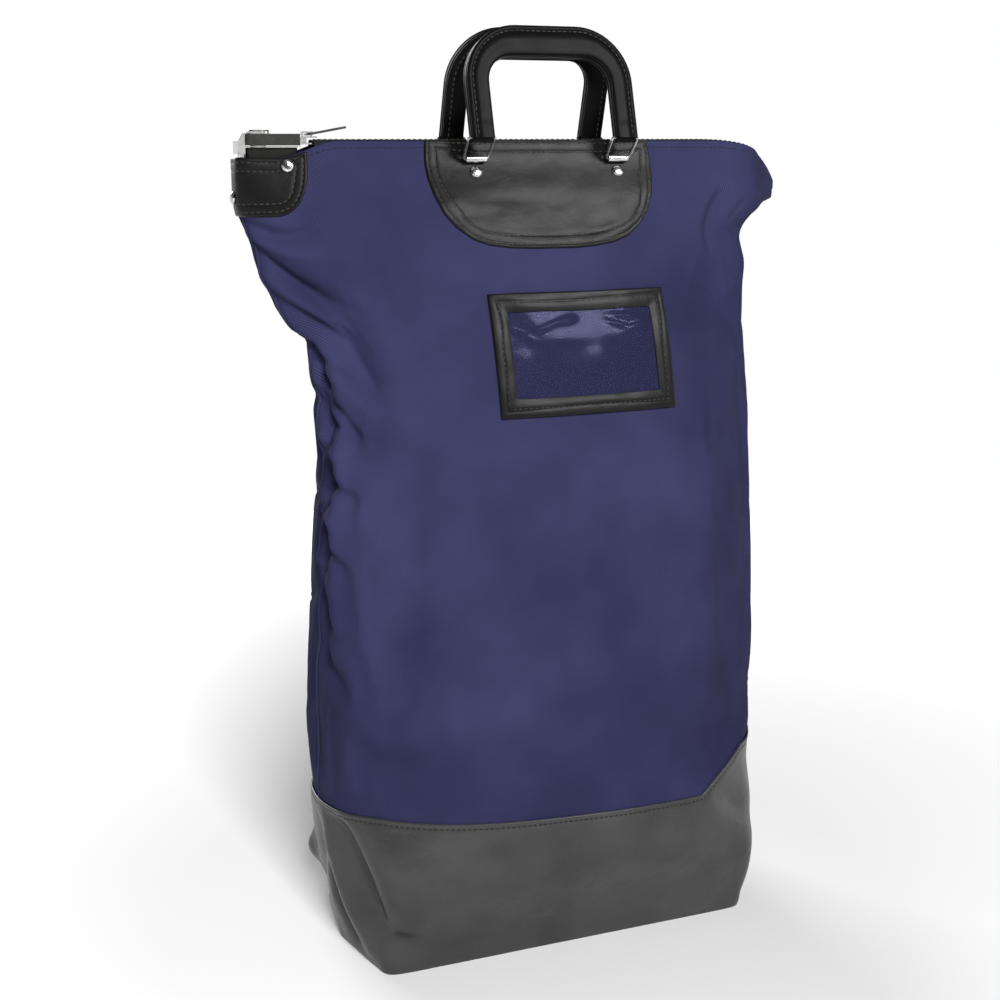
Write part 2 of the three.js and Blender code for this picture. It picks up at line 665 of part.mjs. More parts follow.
function lockPlunger() {
  const rim = PLUG_RADIUS + 0.4;
  const profile = [
    [0, 600],
    [PLUNGER_RADIUS, 600],
    [PLUNGER_RADIUS, PLUNGER_TOP_Z - 3.6],
    [PLUNGER_HEAD, PLUNGER_TOP_Z - 3.6],
    [PLUNGER_HEAD, PLUNGER_TOP_Z - 0.8],
    [PLUNGER_HEAD - 0.8, PLUNGER_TOP_Z],
    [rim, PLUNGER_TOP_Z],
    [rim, PLUG_POCKET_Z],
    [0, PLUG_POCKET_Z],
  ];
  return upright(lathe(profile, 28), LOCK_X);
}

function lockKeyPlug() {
  const plug = post(PLUG_RADIUS, [PLUG_POCKET_Z + 0.5, PLUNGER_TOP_Z - 0.3], LOCK_X, 20);
  const keyhole = boxBetween([LOCK_X - 0.6, LOCK_X + 0.6], [-2.8, 2.8], [PLUNGER_TOP_Z - 8, PLUNGER_TOP_Z + 1]);
  return cutBy(plug, [keyhole]);
}

// ---------- rivets, chapes and rings ----------
// A domed rivet on +y with its head's underside at headAt and the peened end below the washer.
function rivet(headAt, washerAt) {
  const end = washerAt - CHAPE_SHEET - 0.3;
  return lathe(
    [
      [0, end - 0.8],
      [RIVET.peen, end - 0.8],
      [RIVET.peen, end],
      [RIVET.shank, end],
      [RIVET.shank, headAt],
      [RIVET.head, headAt],
      [RIVET.head * 0.9, headAt + RIVET.rise * 0.5],
      [RIVET.head * 0.6, headAt + RIVET.rise * 0.88],
      [0, headAt + RIVET.rise],
    ],
    ROUND_SEGMENTS,
  );
}

function washer(topAt) {
  const [inside, outside] = [RIVET.shank + HOLE_PLAY, RIVET.head];
  const low = topAt - CHAPE_SHEET;
  const profile = [
    [inside, low],
    [outside, low],
    [outside, topAt],
    [inside, topAt],
    [inside, low],
  ];
  return lathe(profile, ROUND_SEGMENTS);
}

// A steel strap rolled round the ring; its leaf goes through the slit and turns down behind the nylon.
function chape({ side, chapeFrame, rivetFrame }) {
  const outline = new THREE.Shape().absarc(0, 0, ROLL_RADIUS, 0, 2 * Math.PI, false);
  outline.holes.push(new THREE.Path().absarc(0, 0, ROLL_BORE, 0, 2 * Math.PI, true));
  const roll = new THREE.ExtrudeGeometry(outline, { depth: CHAPE_WIDTH, bevelEnabled: false, curveSegments: 12 });
  roll.rotateY(Math.PI / 2).translate(-CHAPE_WIDTH / 2, ROLL_STANDOFF, 0);
  const half = CHAPE_LEAF.width / 2;
  const back = -LEAF_DEPTH - CHAPE_SHEET;
  const neck = boxBetween([-half, half], [back, ROLL_STANDOFF - ROLL_BORE - 0.5], [-0.8, 0.8]);
  const { above, below } = CHAPE_LEAF;
  const leaf = boxBetween([-half, half], [back, -LEAF_DEPTH], side === FRONT ? [-above, below] : [-below, above]);
  const strap = [placed(roll, chapeFrame), placed(neck, chapeFrame), placed(leaf, rivetFrame)];
  return cutBy(joined(strap), [shankHole(rivetFrame)]);
}

// The hinge line of the two rings on one side, and of the handle above them.
function ringHinge(side) {
  const { chapeFrame } = FITTINGS.find((fitting) => fitting.side === side);
  return new THREE.Vector3(0, ROLL_STANDOFF, 0).applyMatrix4(chapeFrame).setX(HANDLE_X);
}

function handleHinge(side) {
  const lean = new THREE.Vector3(0, side * Math.sin(RING_LEAN), Math.cos(RING_LEAN));
  return ringHinge(side).addScaledVector(lean, RING_LENGTH);
}

function roundedCorners(corners, radius, count) {
  return corners.flatMap((corner, i) => {
    const before = corners.at(i - 1);
    const after = corners[(i + 1) % corners.length];
    const enter = corner.clone().add(before.clone().sub(corner).setLength(radius));
    const leave = corner.clone().add(after.clone().sub(corner).setLength(radius));
    return new THREE.QuadraticBezierCurve(enter, corner, leave).getPoints(count);
  });
}

// A closed loop of round wire in the xy plane, mitred at each point of its outline.
function wireLoop(outline, radius, sides) {
  const points = outline.flatMap((point, i) => {
    const before = point.clone().sub(outline.at(i - 1)).normalize();
    const after = outline[(i + 1) % outline.length].clone().sub(point).normalize();
    const along = before.add(after).normalize();
    const out = new THREE.Vector2(along.y, -along.x).divideScalar(along.dot(after));
    return Array.from({ length: sides }, (_, k) => {
      const angle = (2 * Math.PI * (k + 0.5)) / sides;
      const reach = radius * Math.cos(angle);
      return new THREE.Vector3(point.x + out.x * reach, point.y + out.y * reach, radius * Math.sin(angle));
    });
  });
  const at = (r, c) => (r % outline.length) * sides + (c % sides);
  return closedGeometry(points, gridFaces(outline.length + 1, sides + 1, at));
}

function ring({ side, x }) {
  const base = (RING_BASE - RING_WIRE) / 2;
  const top = (RING_TOP - RING_WIRE) / 2;
  const corners = [
    new THREE.Vector2(-base, 0),
    new THREE.Vector2(base, 0),
    new THREE.Vector2(top, RING_LENGTH),
    new THREE.Vector2(-top, RING_LENGTH),
  ];
  const loop = wireLoop(roundedCorners(corners, RING_ROUND, 3), RING_WIRE / 2, 8);
  const hinge = ringHinge(side);
  return loop.rotateX(Math.PI / 2 - side * RING_LEAN).translate(x, hinge.y, hinge.z);
}

// ---------- handles ----------
function handleOutline(bottom) {
  const { outer, inner } = HANDLE_ROUND;
  const [half, leg, top, under] = [HANDLE_HALF, HANDLE_HALF - HANDLE_LEG, HANDLE_RISE, HANDLE_RISE - HANDLE_BAR];
  const outline = new THREE.Shape();
  outline.moveTo(half, bottom);
  outline.absarc(half - outer, top - outer, outer, 0, Math.PI / 2, false);
  outline.absarc(outer - half, top - outer, outer, Math.PI / 2, Math.PI, false);
  outline.lineTo(-half, bottom);
  outline.lineTo(-leg, bottom);
  outline.absarc(inner - leg, under - inner, inner, Math.PI, Math.PI / 2, true);
  outline.absarc(leg - inner, under - inner, inner, Math.PI / 2, 0, true);
  outline.lineTo(leg, bottom);
  return outline;
}

function handleFrame(side) {
  const hinge = handleHinge(side);
  const tilt = new THREE.Matrix4().makeRotationX(Math.PI / 2 + side * HANDLE_LEAN);
  return tilt.setPosition(hinge.x, hinge.y, hinge.z);
}

// A layer of the handle from one depth to another; its edge is eased when edge is given.
function handleLayer(side, [near, far], bottom, edge) {
  const layer = new THREE.ExtrudeGeometry(handleOutline(bottom), {
    depth: far - near - 2 * edge,
    bevelEnabled: edge > 0,
    bevelSize: edge,
    bevelOffset: -edge,
    bevelThickness: edge,
    bevelSegments: 1,
    curveSegments: 5,
  });
  return placed(layer.translate(0, 0, near + edge), handleFrame(side));
}

function handleCore(side) {
  const core = handleLayer(side, [-HANDLE_CORE / 2, HANDLE_CORE / 2], -3.6, 0);
  const bore = new THREE.CylinderGeometry(RING_WIRE / 2 + 0.45, RING_WIRE / 2 + 0.45, 160, 12);
  return cutBy(core, [placed(bore.rotateZ(Math.PI / 2), handleFrame(side))]);
}

function handleCover(side, outward) {
  const near = HANDLE_CORE / 2 + HANDLE_LAYER_GAP;
  const depths = outward ? [-near - HANDLE_COVER, -near] : [near, near + HANDLE_COVER];
  return handleLayer(side, side === FRONT ? [-depths[1], -depths[0]] : depths, -1.2, 0.6);
}

// ---------- assembly ----------
addMesh("bottom_boot", boot(), BOOT_VINYL);
addMesh("window_film", windowSheet(WINDOW.border - FILM_LAP, GAP, GAP + FILM), CLEAR_FILM);
addMesh("window_frame", windowFrame(), BLACK_VINYL);
addMesh("lock_corner_patch", cornerPatch(), BLACK_VINYL);
addMesh("lock_base", lockBase(), CAST_ZINC);
addMesh("lock_trim", lockTrim(), NICKEL);
addMesh("lock_housing", lockHousing(), LOCK_STEEL);
addMesh("lock_end_bracket", lockEndBracket(), NICKEL);
addMesh("lock_plunger", lockPlunger(), NICKEL);
addMesh("lock_key_plug", lockKeyPlug(), BRASS);
addMesh("zipper_slider", zipSlider(), NICKEL);
addMesh("slider_pull_tab", pullTab(), LOCK_STEEL);
for (const { side, label } of SIDES) {
  addMesh(`${label}_panel`, panel(side), NYLON);
  addMesh(`${label}_handle_patch`, handlePatch(side), BLACK_VINYL);
  addMesh(`${label}_zipper_tape`, zipTape(side), ZIP_TAPE);
  addMesh(`${label}_zipper_coil`, zipCoil(side), COIL);
  addMesh(`${label}_handle_core`, handleCore(side), BLACK_VINYL);
  addMesh(`${label}_handle_outer_cover`, handleCover(side, true), BLACK_VINYL);
  addMesh(`${label}_handle_inner_cover`, handleCover(side, false), BLACK_VINYL);
}
const HEAD_AT = OVERLAY + 0.3;
for (const fitting of FITTINGS) {
  const washerAt = -LEAF_DEPTH - CHAPE_SHEET - 0.3;
  addMesh(`${fitting.name}_chape`, chape(fitting), NICKEL);
  addMesh(`${fitting.name}_ring`, ring(fitting), NICKEL);
  addMesh(`${fitting.name}_handle_rivet`, placed(rivet(HEAD_AT, washerAt), fitting.rivetFrame), NICKEL);
  addMesh(`${fitting.name}_rivet_washer`, placed(washer(washerAt), fitting.rivetFrame), NICKEL);
}
for (const { name, frame, washerAt } of CORNER_RIVETS) {
  addMesh(`corner_${name}_rivet`, placed(rivet(HEAD_AT, washerAt), frame), NICKEL);
  addMesh(`corner_${name}_washer`, placed(washer(washerAt), frame), NICKEL);
}

export default bag;
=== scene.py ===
"""The looks of the cash deposit bag: cloth, vinyl, stitching, zip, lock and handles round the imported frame.

Lengths in this file are millimetres until a mesh is made; its object is in metres, as the frame is.
"""
import json
import math

import bpy
import numpy as np
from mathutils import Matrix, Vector


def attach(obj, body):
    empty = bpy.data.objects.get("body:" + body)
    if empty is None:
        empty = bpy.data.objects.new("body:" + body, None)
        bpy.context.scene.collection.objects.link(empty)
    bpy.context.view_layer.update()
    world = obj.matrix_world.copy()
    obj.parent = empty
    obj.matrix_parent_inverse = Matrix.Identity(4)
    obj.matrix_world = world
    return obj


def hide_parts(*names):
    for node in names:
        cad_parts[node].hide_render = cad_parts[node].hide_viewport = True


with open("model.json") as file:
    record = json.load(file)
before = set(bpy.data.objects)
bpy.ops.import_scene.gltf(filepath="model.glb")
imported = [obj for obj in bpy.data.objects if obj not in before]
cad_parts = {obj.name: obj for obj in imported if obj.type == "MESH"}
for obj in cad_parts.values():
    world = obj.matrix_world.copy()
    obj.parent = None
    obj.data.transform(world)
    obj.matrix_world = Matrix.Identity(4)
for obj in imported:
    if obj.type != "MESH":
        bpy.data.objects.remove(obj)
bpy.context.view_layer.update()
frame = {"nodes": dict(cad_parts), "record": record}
MM = 0.001

# ---- the skin of the bag
MOUTH_Z = 617
BOOT_TOP = 122
BOOT_LAP = 14
PANEL_TOP = 616
CLOTH = 1.2
VINYL = 1.3
GAP = 0.4
OVERLAY = GAP + VINYL
BOOT_GAP = 0.8
FLAT_WIDTH = 457
SECTION_NAMES = ("z", "left", "right", "bulge", "fullness", "lip_left", "lip_right")
SECTIONS = [
    (0, -153, 152, 74.3, 26, 11, 1),
    (30, -158, 159, 84, 14, 12, 2),
    (75, -166, 168, 96, 5, 9, 3),
    (122, -176, 175, 103, 2.6, 5, 4),
    (200, -184, 181, 106, 2.3, 3, 3),
    (300, -187, 181, 101, 2.3, -4, 3),
    (390, -184, 178, 87, 2.3, -8, 2),
    (470, -184, 176, 67, 2.3, -5, 2),
    (500, -201, 174, 55, 2.3, 2, 2),
    (540, -219, 173, 39, 2.6, 2, 2),
    (575, -228, 200, 25, 3.6, 2, 2),
    (600, -230, 224, 14, 7, 1, 1),
    (617, -230.5, 227.5, 9.5, 18, 0, 0),
]
SECTION_Z = [row[0] for row in SECTIONS]
SAG_START = 470
LOCK_SAG, LOCK_SAG_X = 12, (158, 205)
EAR_SAG, EAR_X = 34, (128, 228)
EAR_TURN, EAR_CREASE_X = math.radians(32), 174
FRONT, BACK = -1, 1
SIDES = {FRONT: "front", BACK: "back"}
# Height of the boot's rim over the cloth fraction, and the levels between which cloth and boot follow it.
BOOT_RIM = {
    FRONT: [(0, 119), (0.15, 124), (0.3, 121), (0.72, 112.5), (0.83, 140), (1, 145)],
    BACK: [(0, 119), (0.4, 118), (0.77, 120), (1, 145)],
}
RIM_FROM, RIM_TO = 40, 170


def smoothstep(x, low, high):
    t = np.clip((x - low) / (high - low), 0, 1)
    return t * t * (3 - 2 * t)


def unit(vectors):
    return vectors / np.linalg.norm(vectors, axis=-1, keepdims=True)


def blended(grid, rows, columns, up, across):
    """Values of a grid between two rows and two columns, by the shares of the second ones."""
    low, high = (grid[row, columns[0]] * (1 - across) + grid[row, columns[1]] * across for row in rows)
    return low * (1 - up) + high * up


def section_value(name, z):
    """One value of SECTIONS at a height, by a monotone cubic through the rows."""
    values = [row[SECTION_NAMES.index(name)] for row in SECTIONS]
    secants = np.diff(values) / np.diff(SECTION_Z)
    i = int(np.clip(np.searchsorted(SECTION_Z, z, side="right") - 1, 0, len(SECTIONS) - 2))

    def slope(k):
        if k in (0, len(secants)):
            return secants[min(k, len(secants) - 1)]
        below, above = secants[k - 1], secants[k]
        return 0 if below * above <= 0 else 2 * below * above / (below + above)

    span = SECTION_Z[i + 1] - SECTION_Z[i]
    t = min(max((z - SECTION_Z[i]) / span, 0), 1)
    blend = 2 * t**3 - 3 * t**2 + 1
    bend = (t**3 - 2 * t**2 + t) * slope(i) + (t**3 - t**2) * slope(i + 1)
    return blend * values[i] + (1 - blend) * values[i + 1] + span * bend


def half_section(z, us):
    """x and depth at cloth fractions us, from the left seam to the right seam."""
    left, right, bulge, fullness, lip_left, lip_right = (section_value(n, z) for n in SECTION_NAMES[1:])
    angle = np.linspace(0, math.pi, 481)
    side = -np.sign(np.cos(angle))
    depth = np.abs(np.sin(angle)) ** (2 / fullness)
    depth[[0, -1]] = 0
    lip = np.where(side < 0, lip_left, lip_right) * (1 - depth**2) ** 2
    x = (left + right) / 2 + side * (np.abs(np.cos(angle)) ** (2 / fullness) * (right - left) / 2 + lip)
    y = bulge * depth
    arc = np.concatenate([[0], np.cumsum(np.hypot(np.diff(x), np.diff(y)))])
    return np.interp(us, arc / arc[-1], x), np.interp(us, arc / arc[-1], y)


def fraction_at(x, z):
    """The cloth fraction at distance x from the middle, on one level."""
    us = np.linspace(0, 1, 481)
    return np.interp(x, half_section(z, us)[0], us)


def sagged(x, y, z, lock=True):
    """The sag of the mouth's two ends and the turn of the ear, for points of a straight mouth."""
    x, y, z = np.broadcast_arrays(x, y, z)
    rise = smoothstep(z, SAG_START, MOUTH_Z)
    along = np.clip((x - EAR_X[0]) / (EAR_X[1] - EAR_X[0]), 0, 1.1)
    height = z - rise * EAR_SAG * along**3
    past = np.maximum(x - EAR_CREASE_X, 0)
    turn = EAR_TURN * rise * smoothstep(past, -10, 25)
    if lock:
        height = height - rise * LOCK_SAG * smoothstep(-x, *LOCK_SAG_X)
    x = np.where(past > 0, EAR_CREASE_X + past * np.cos(turn), x)
    return np.stack([x, y + past * np.sin(turn), height], -1)


# ---- the cloth grid
COLUMNS = 184  # steps across one panel
S_VALUES = np.linspace(-FLAT_WIDTH, FLAT_WIDTH, 2 * COLUMNS + 1)
LEVELS = np.concatenate([np.arange(0, 96, 3), np.arange(96, PANEL_TOP + 0.1, 2.6)])


class Surface:
    """The whole skin over (s, z): s is the cloth distance from the left seam, negative on the front."""

    def __init__(self):
        us = np.linspace(0, 1, COLUMNS + 1)
        halves = []
        for side in SIDES:
            rows = []
            for z in LEVELS:
                x, y = half_section(z, us)
                rows.append(sagged(x, side * y, z))
            halves.append(np.array(rows))
        self.points = np.concatenate([halves[0][:, ::-1], halves[1][:, 1:]], axis=1)
        self.update()

    def update(self):
        ring = self.points[:, :-1]
        du = np.roll(ring, -1, axis=1) - np.roll(ring, 1, axis=1)
        dv = np.gradient(ring, axis=0)
        normals = unit(np.cross(dv, du))
        self.normals = np.concatenate([normals, normals[:, :1]], axis=1)

    def at(self, s, z, offset=0.0):
        """Points and outward normals at cloth coordinates."""
        s, z, offset = np.broadcast_arrays(*(np.asarray(v, float) for v in (s, z, offset)))
        column = np.clip((s + FLAT_WIDTH) / (2 * FLAT_WIDTH), 0, 1) * 2 * COLUMNS
        row = np.interp(z, LEVELS, np.arange(len(LEVELS)))
        c0 = np.clip(column.astype(int), 0, 2 * COLUMNS - 1)
        r0 = np.clip(row.astype(int), 0, len(LEVELS) - 2)
        fc, fr = (column - c0)[..., None], (row - r0)[..., None]
        cell = (r0, r0 + 1), (c0, c0 + 1), fr, fc
        normal = unit(blended(self.normals, *cell))
        return blended(self.points, *cell) + normal * offset[..., None], normal


def rim_height(s):
    rims = [np.interp(np.abs(s) / FLAT_WIDTH, *zip(*BOOT_RIM[side])) for side in SIDES]
    return np.where(np.asarray(s) < 0, *rims)


def beside_rim(s, z):
    """A level near the boot's rim, raised or lowered with the rim."""
    follow = smoothstep(z, RIM_FROM, BOOT_TOP) * (1 - smoothstep(z, BOOT_TOP, RIM_TO))
    return z + (rim_height(s) - BOOT_TOP) * follow


skin = Surface()

# ---- folds
# Each fold is a path of (s, z), a width and a height: positive for a ridge, negative for a furrow.
CLOTH_FOLDS = [
    # furrows and ridges that fan out below the lock corner
    ([(-6, 566), (-30, 558), (-58, 556)], 6, -7),
    ([(-5, 556), (-34, 544), (-66, 536)], 7, 4),
    ([(-5, 540), (-34, 518), (-72, 496)], 8, -5),
    ([(-4, 524), (-30, 500), (-64, 474)], 8, 5),
    ([(-4, 550), (-24, 524), (-46, 488), (-64, 450)], 17, -11),
    ([(-3, 506), (-34, 476), (-62, 446)], 7, -7),
    ([(-3, 484), (-30, 456), (-60, 424)], 7, 7),
    ([(-2, 470), (-22, 442), (-50, 404)], 6, -7),
    ([(-62, 556), (-84, 500), (-92, 430)], 20, 4),
    # crumples along the left seam
    ([(-2, 474), (-20, 462), (-40, 458)], 5, -7),
    ([(-1, 452), (-18, 440), (-38, 434)], 5, 7),
    ([(-1, 432), (-20, 416), (-48, 408)], 5, -7),
    ([(-1, 408), (-16, 398), (-34, 392)], 5, 6),
    ([(-1, 388), (-18, 374), (-46, 362)], 6, -7),
    ([(-1, 362), (-14, 350), (-32, 342)], 5, 6),
    ([(-1, 340), (-16, 324), (-40, 312)], 5, -6),
    ([(-1, 312), (-14, 300), (-28, 292)], 6, 5),
    ([(-1, 290), (-14, 272), (-36, 256)], 6, -5),
    ([(-1, 250), (-16, 234), (-42, 222)], 8, -4),
    ([(-34, 500), (-36, 430), (-32, 340), (-34, 240)], 8, 5),
    ([(-12, 470), (-16, 400), (-12, 320), (-16, 240)], 7, -7),
    ([(10, 480), (13, 400), (11, 300), (14, 200)], 7, -4),
    ([(2, 450), (26, 430), (52, 426)], 7, -4),
    ([(2, 372), (22, 356), (48, 350)], 8, -4),
    ([(2, 300), (20, 280), (46, 268)], 8, -3),
    # long soft diagonals across the front
    ([(-96, 300), (-150, 322), (-214, 352), (-262, 400)], 20, 2.6),
    ([(-110, 270), (-180, 290), (-250, 322)], 18, -2.2),
    ([(-40, 196), (-84, 184), (-140, 196), (-196, 226)], 15, 3),
    ([(-60, 168), (-120, 158), (-180, 172)], 13, -2.2),
    ([(-250, 250), (-320, 270), (-390, 310)], 26, -2),
    ([(-290, 330), (-350, 370), (-392, 430)], 24, 2),
    ([(-44, 300), (-74, 250), (-84, 200)], 22, 2.5),
    # the back, which leans on the contents
    ([(100, 470), (180, 420), (270, 400), (350, 420)], 30, -2.5),
    ([(90, 340), (190, 300), (300, 290)], 34, 2.5),
    ([(110, 220), (210, 190), (320, 200)], 24, -2.2),
    ([(120, 560), (100, 520), (96, 470)], 18, -3),
    ([(330, 560), (350, 520), (352, 470)], 18, -3),
    # the far ear and the crease below it
    ([(-390, 604), (-392, 566), (-402, 536)], 7, -6),
    ([(-455, 560), (-430, 540), (-396, 528)], 10, -5),
    ([(-456, 530), (-432, 512), (-402, 500)], 9, 3.5),
    ([(-456, 500), (-436, 470), (-430, 430)], 9, -3),
    ([(-448, 400), (-440, 330), (-444, 260)], 9, -3),
    ([(455, 556), (430, 536), (400, 520)], 10, -5),
    ([(456, 520), (436, 500), (412, 480)], 9, 3),
    # puffs above the boot's dipping rim
    ([(-352, 128), (-386, 142), (-420, 160)], 12, 2.5),
    ([(-340, 150), (-380, 168), (-420, 190)], 14, -2.5),
]
BOOT_FOLDS = [
    ([(-24, 114), (-46, 82), (-66, 50), (-82, 32)], 15, -13),
    ([(-72, 108), (-92, 74), (-104, 40)], 16, 3),
    ([(-4, 104), (-16, 72), (-34, 40), (-56, 14)], 8, 3),
    ([(-74, 26), (-90, 23), (-108, 28)], 11, -6),
    ([(-6, 66), (-18, 36), (-38, 8)], 8, -5),
    ([(2, 96), (20, 60), (44, 26)], 9, -5),
    ([(30, 40), (52, 24), (70, 6)], 10, -5),
    ([(58, 62), (66, 48), (74, 36)], 6, 8),
    ([(-112, 100), (-150, 92), (-200, 96)], 8, -2),
    ([(-382, 4), (-366, 26), (-356, 60)], 12, -3),
    ([(-350, 104), (-372, 88), (-388, 78)], 10, -4),
    ([(-424, 20), (-432, 60), (-440, 110)], 14, -4),
    ([(-120, 92), (-220, 70), (-330, 86)], 24, 3),
    ([(-110, 52), (-210, 30), (-330, 40)], 24, -3),
    ([(-150, 70), (-184, 48), (-230, 20)], 12, 3),
    ([(-250, 92), (-300, 64), (-340, 20)], 16, 3),
    ([(110, 60), (230, 44), (340, 60)], 30, -2.5),
    ([(382, 8), (368, 30), (362, 60)], 11, -4),
    ([(78, 6), (94, 26), (100, 56)], 11, -4),
]


def fold_height(folds, s, z):
    """The summed height of folds at cloth coordinates; each fold fades out at both ends."""
    total = np.zeros(np.broadcast(s, z).shape)
    for path, width, height in folds:
        nearest = np.full(total.shape, 1e9)
        place = np.zeros(total.shape)
        path = np.array(path, float)
        lengths = np.linalg.norm(np.diff(path, axis=0), axis=1)
        run = 0.0
        for a, b, length in zip(path[:-1], path[1:], lengths):
            t = np.clip(((s - a[0]) * (b[0] - a[0]) + (z - a[1]) * (b[1] - a[1])) / length**2, 0, 1)
            distance = np.hypot(s - a[0] - t * (b[0] - a[0]), z - a[1] - t * (b[1] - a[1]))
            place = np.where(distance < nearest, (run + t * length) / lengths.sum(), place)
            nearest = np.minimum(distance, nearest)
            run += length
        taper = np.sin(math.pi * (0.12 + 0.76 * place)) ** 0.8
        total += height * taper * np.exp(-((nearest / width) ** 2))
    return total


def soft_noise(seed, shape, cells):
    """Smooth noise from -1 to 1 over a grid that wraps across its columns."""
    values = np.random.default_rng(seed).uniform(-1, 1, (cells[0] + 1, cells[1]))
    r = np.linspace(0, cells[0] - 1e-6, shape[0])[:, None]
    c = np.linspace(0, cells[1] - 1e-6, shape[1])[None, :]
    r0, c0 = r.astype(int), c.astype(int)
    fr, fc = smoothstep(r - r0, 0, 1), smoothstep(c - c0, 0, 1)
    return blended(values, (r0, r0 + 1), (c0, (c0 + 1) % cells[1]), fr, fc)


# The cloth grows free between the first two levels, above the boot, and held again between the other two.
LOOSE_Z = (118, 150)
HELD_Z = (568, 587)


def shape_skin():
    s = S_VALUES[None, :]
    z = LEVELS[:, None]
    free = (1 - smoothstep(z, *HELD_Z)) * smoothstep(z, *LOOSE_Z)
    shape = skin.points.shape[:2]
    broad = soft_noise(3, shape, (12, 18)) + 0.5 * soft_noise(4, shape, (30, 44))
    cloth = (fold_height(CLOTH_FOLDS, s, z) + 0.9 * broad) * free
    off_floor = smoothstep(z, 1, 14)
    boot = (fold_height(BOOT_FOLDS, s, z) + 0.4 * broad) * (1 - smoothstep(z, 106, 124)) * off_floor
    skin.points = skin.points + skin.normals * (cloth + boot)[..., None]
    skin.update()


shape_skin()

# ---- cloth simulation
SIM_STEP = 2  # grid steps to one step of the simulated mesh
SIM_FRAMES = 22
SIM_CAP = 7.0  # how far a point may move
# The middle of each panel hardly moves: how much it is held, where, and from which distances it isn't or is.
CALM, CALM_MIDDLE, CALM_REACH = 0.25, 228, (160, 90)
SIM_SETTINGS = {
    "quality": 5, "mass": 0.25, "tension_stiffness": 20, "compression_stiffness": 20, "shear_stiffness": 8,
    "bending_stiffness": 0.4, "use_pressure": True, "uniform_pressure_force": 2.0,
    "vertex_group_mass": "pinned", "pin_stiffness": 0.6,
}


def slack(s, z):
    """How much longer the cloth is than its place, across and up: the seam gathers it."""
    near_left = np.exp(-((s / 46) ** 2)) * smoothstep(z, 200, 270) * (1 - smoothstep(z, 520, 560))
    under_lock = np.exp(-(((s + 46) / 40) ** 2) - ((z - 505) / 44) ** 2)
    near_right = np.exp(-(((np.abs(s) - FLAT_WIDTH) / 40) ** 2)) * smoothstep(z, 420, 480)
    across = 0.004 + 0.05 * under_lock + 0.04 * near_right
    up = 0.002 + 0.075 * near_left + 0.05 * under_lock + 0.04 * near_right
    return across, up


def simulate():
    """Let Blender's cloth solver crumple the slack in the panels, and keep a capped part of what it does."""
    rows = np.flatnonzero(LEVELS >= BOOT_TOP - BOOT_LAP)[::SIM_STEP]
    columns = np.arange(0, 2 * COLUMNS, SIM_STEP)
    points = skin.points[np.ix_(rows, columns)]
    s, z = np.meshgrid(S_VALUES[columns], LEVELS[rows])
    across, up = slack(s, z)
    wide = np.linalg.norm(np.roll(points, -1, axis=1) - points, axis=2) * (1 + across)
    tall = np.linalg.norm(np.diff(points, axis=0), axis=2) * (1 + (up[1:] + up[:-1]) / 2)
    perimeter = wide.sum(axis=1, keepdims=True)
    before = np.concatenate([np.zeros((len(rows), 1)), np.cumsum(wide, axis=1)[:, :-1]], axis=1)
    turn = 2 * math.pi * before / perimeter
    height = np.concatenate([np.zeros((1, len(columns))), np.cumsum(tall, axis=0)])
    radius = perimeter / (2 * math.pi)
    rest = np.stack([radius * np.cos(turn), radius * np.sin(turn), height], -1)

    mesh = bpy.data.meshes.new("settling")
    faces = grid_faces(len(rows), len(columns), wrap=True)
    mesh.from_pydata((points.reshape(-1, 3) * MM).tolist(), [], faces)
    obj = bpy.data.objects.new("settling", mesh)
    bpy.context.scene.collection.objects.link(obj)
    obj.shape_key_add(name="Basis")
    key = obj.shape_key_add(name="rest")
    key.data.foreach_set("co", (rest.reshape(-1, 3) * MM).astype(np.float32).ravel())
    pinned = obj.vertex_groups.new(name="pinned")
    hold = np.maximum(smoothstep(z, *HELD_Z), 1 - smoothstep(z, *LOOSE_Z))
    calm = CALM * smoothstep(np.abs(np.abs(s) - CALM_MIDDLE), *CALM_REACH)
    weight = np.clip(np.maximum(hold, calm), 0.02, 1).ravel()
    for index, value in enumerate(weight):
        pinned.add([index], float(value), "REPLACE")
    cloth = obj.modifiers.new("cloth", "CLOTH")
    for setting, value in SIM_SETTINGS.items():
        setattr(cloth.settings, setting, value)
    cloth.settings.rest_shape_key = key
    cloth.settings.effector_weights.gravity = 0
    cloth.point_cache.frame_start = 1
    cloth.point_cache.frame_end = SIM_FRAMES
    scene = bpy.context.scene
    for step in range(1, SIM_FRAMES + 1):
        scene.frame_set(step)
    settled = obj.evaluated_get(bpy.context.evaluated_depsgraph_get()).to_mesh()
    moved = np.empty(len(settled.vertices) * 3, np.float32)
    settled.vertices.foreach_get("co", moved)
    moved = moved.reshape(points.shape) / MM - points
    scene.frame_set(1)
    bpy.data.objects.remove(obj)
    bpy.data.meshes.remove(mesh)
    far = np.linalg.norm(moved, axis=2, keepdims=True)
    moved *= SIM_CAP * np.tanh(far / SIM_CAP) / np.maximum(far, 1e-6)
    # what moved on the coarse mesh, spread over the columns and then the levels of the fine one
    every = np.arange(2 * COLUMNS + 1)
    inside = np.arange(rows[0], len(LEVELS))
    moved = np.concatenate([moved, moved[:, :1]], axis=1)
    columns = np.append(columns, 2 * COLUMNS)
    moved = np.apply_along_axis(lambda values: np.interp(every, columns, values), 1, moved)
    moved = np.apply_along_axis(lambda values: np.interp(inside, rows, values), 0, moved)
    skin.points[inside] += moved
    skin.update()


# ---- meshes
SHARP = math.radians(52)


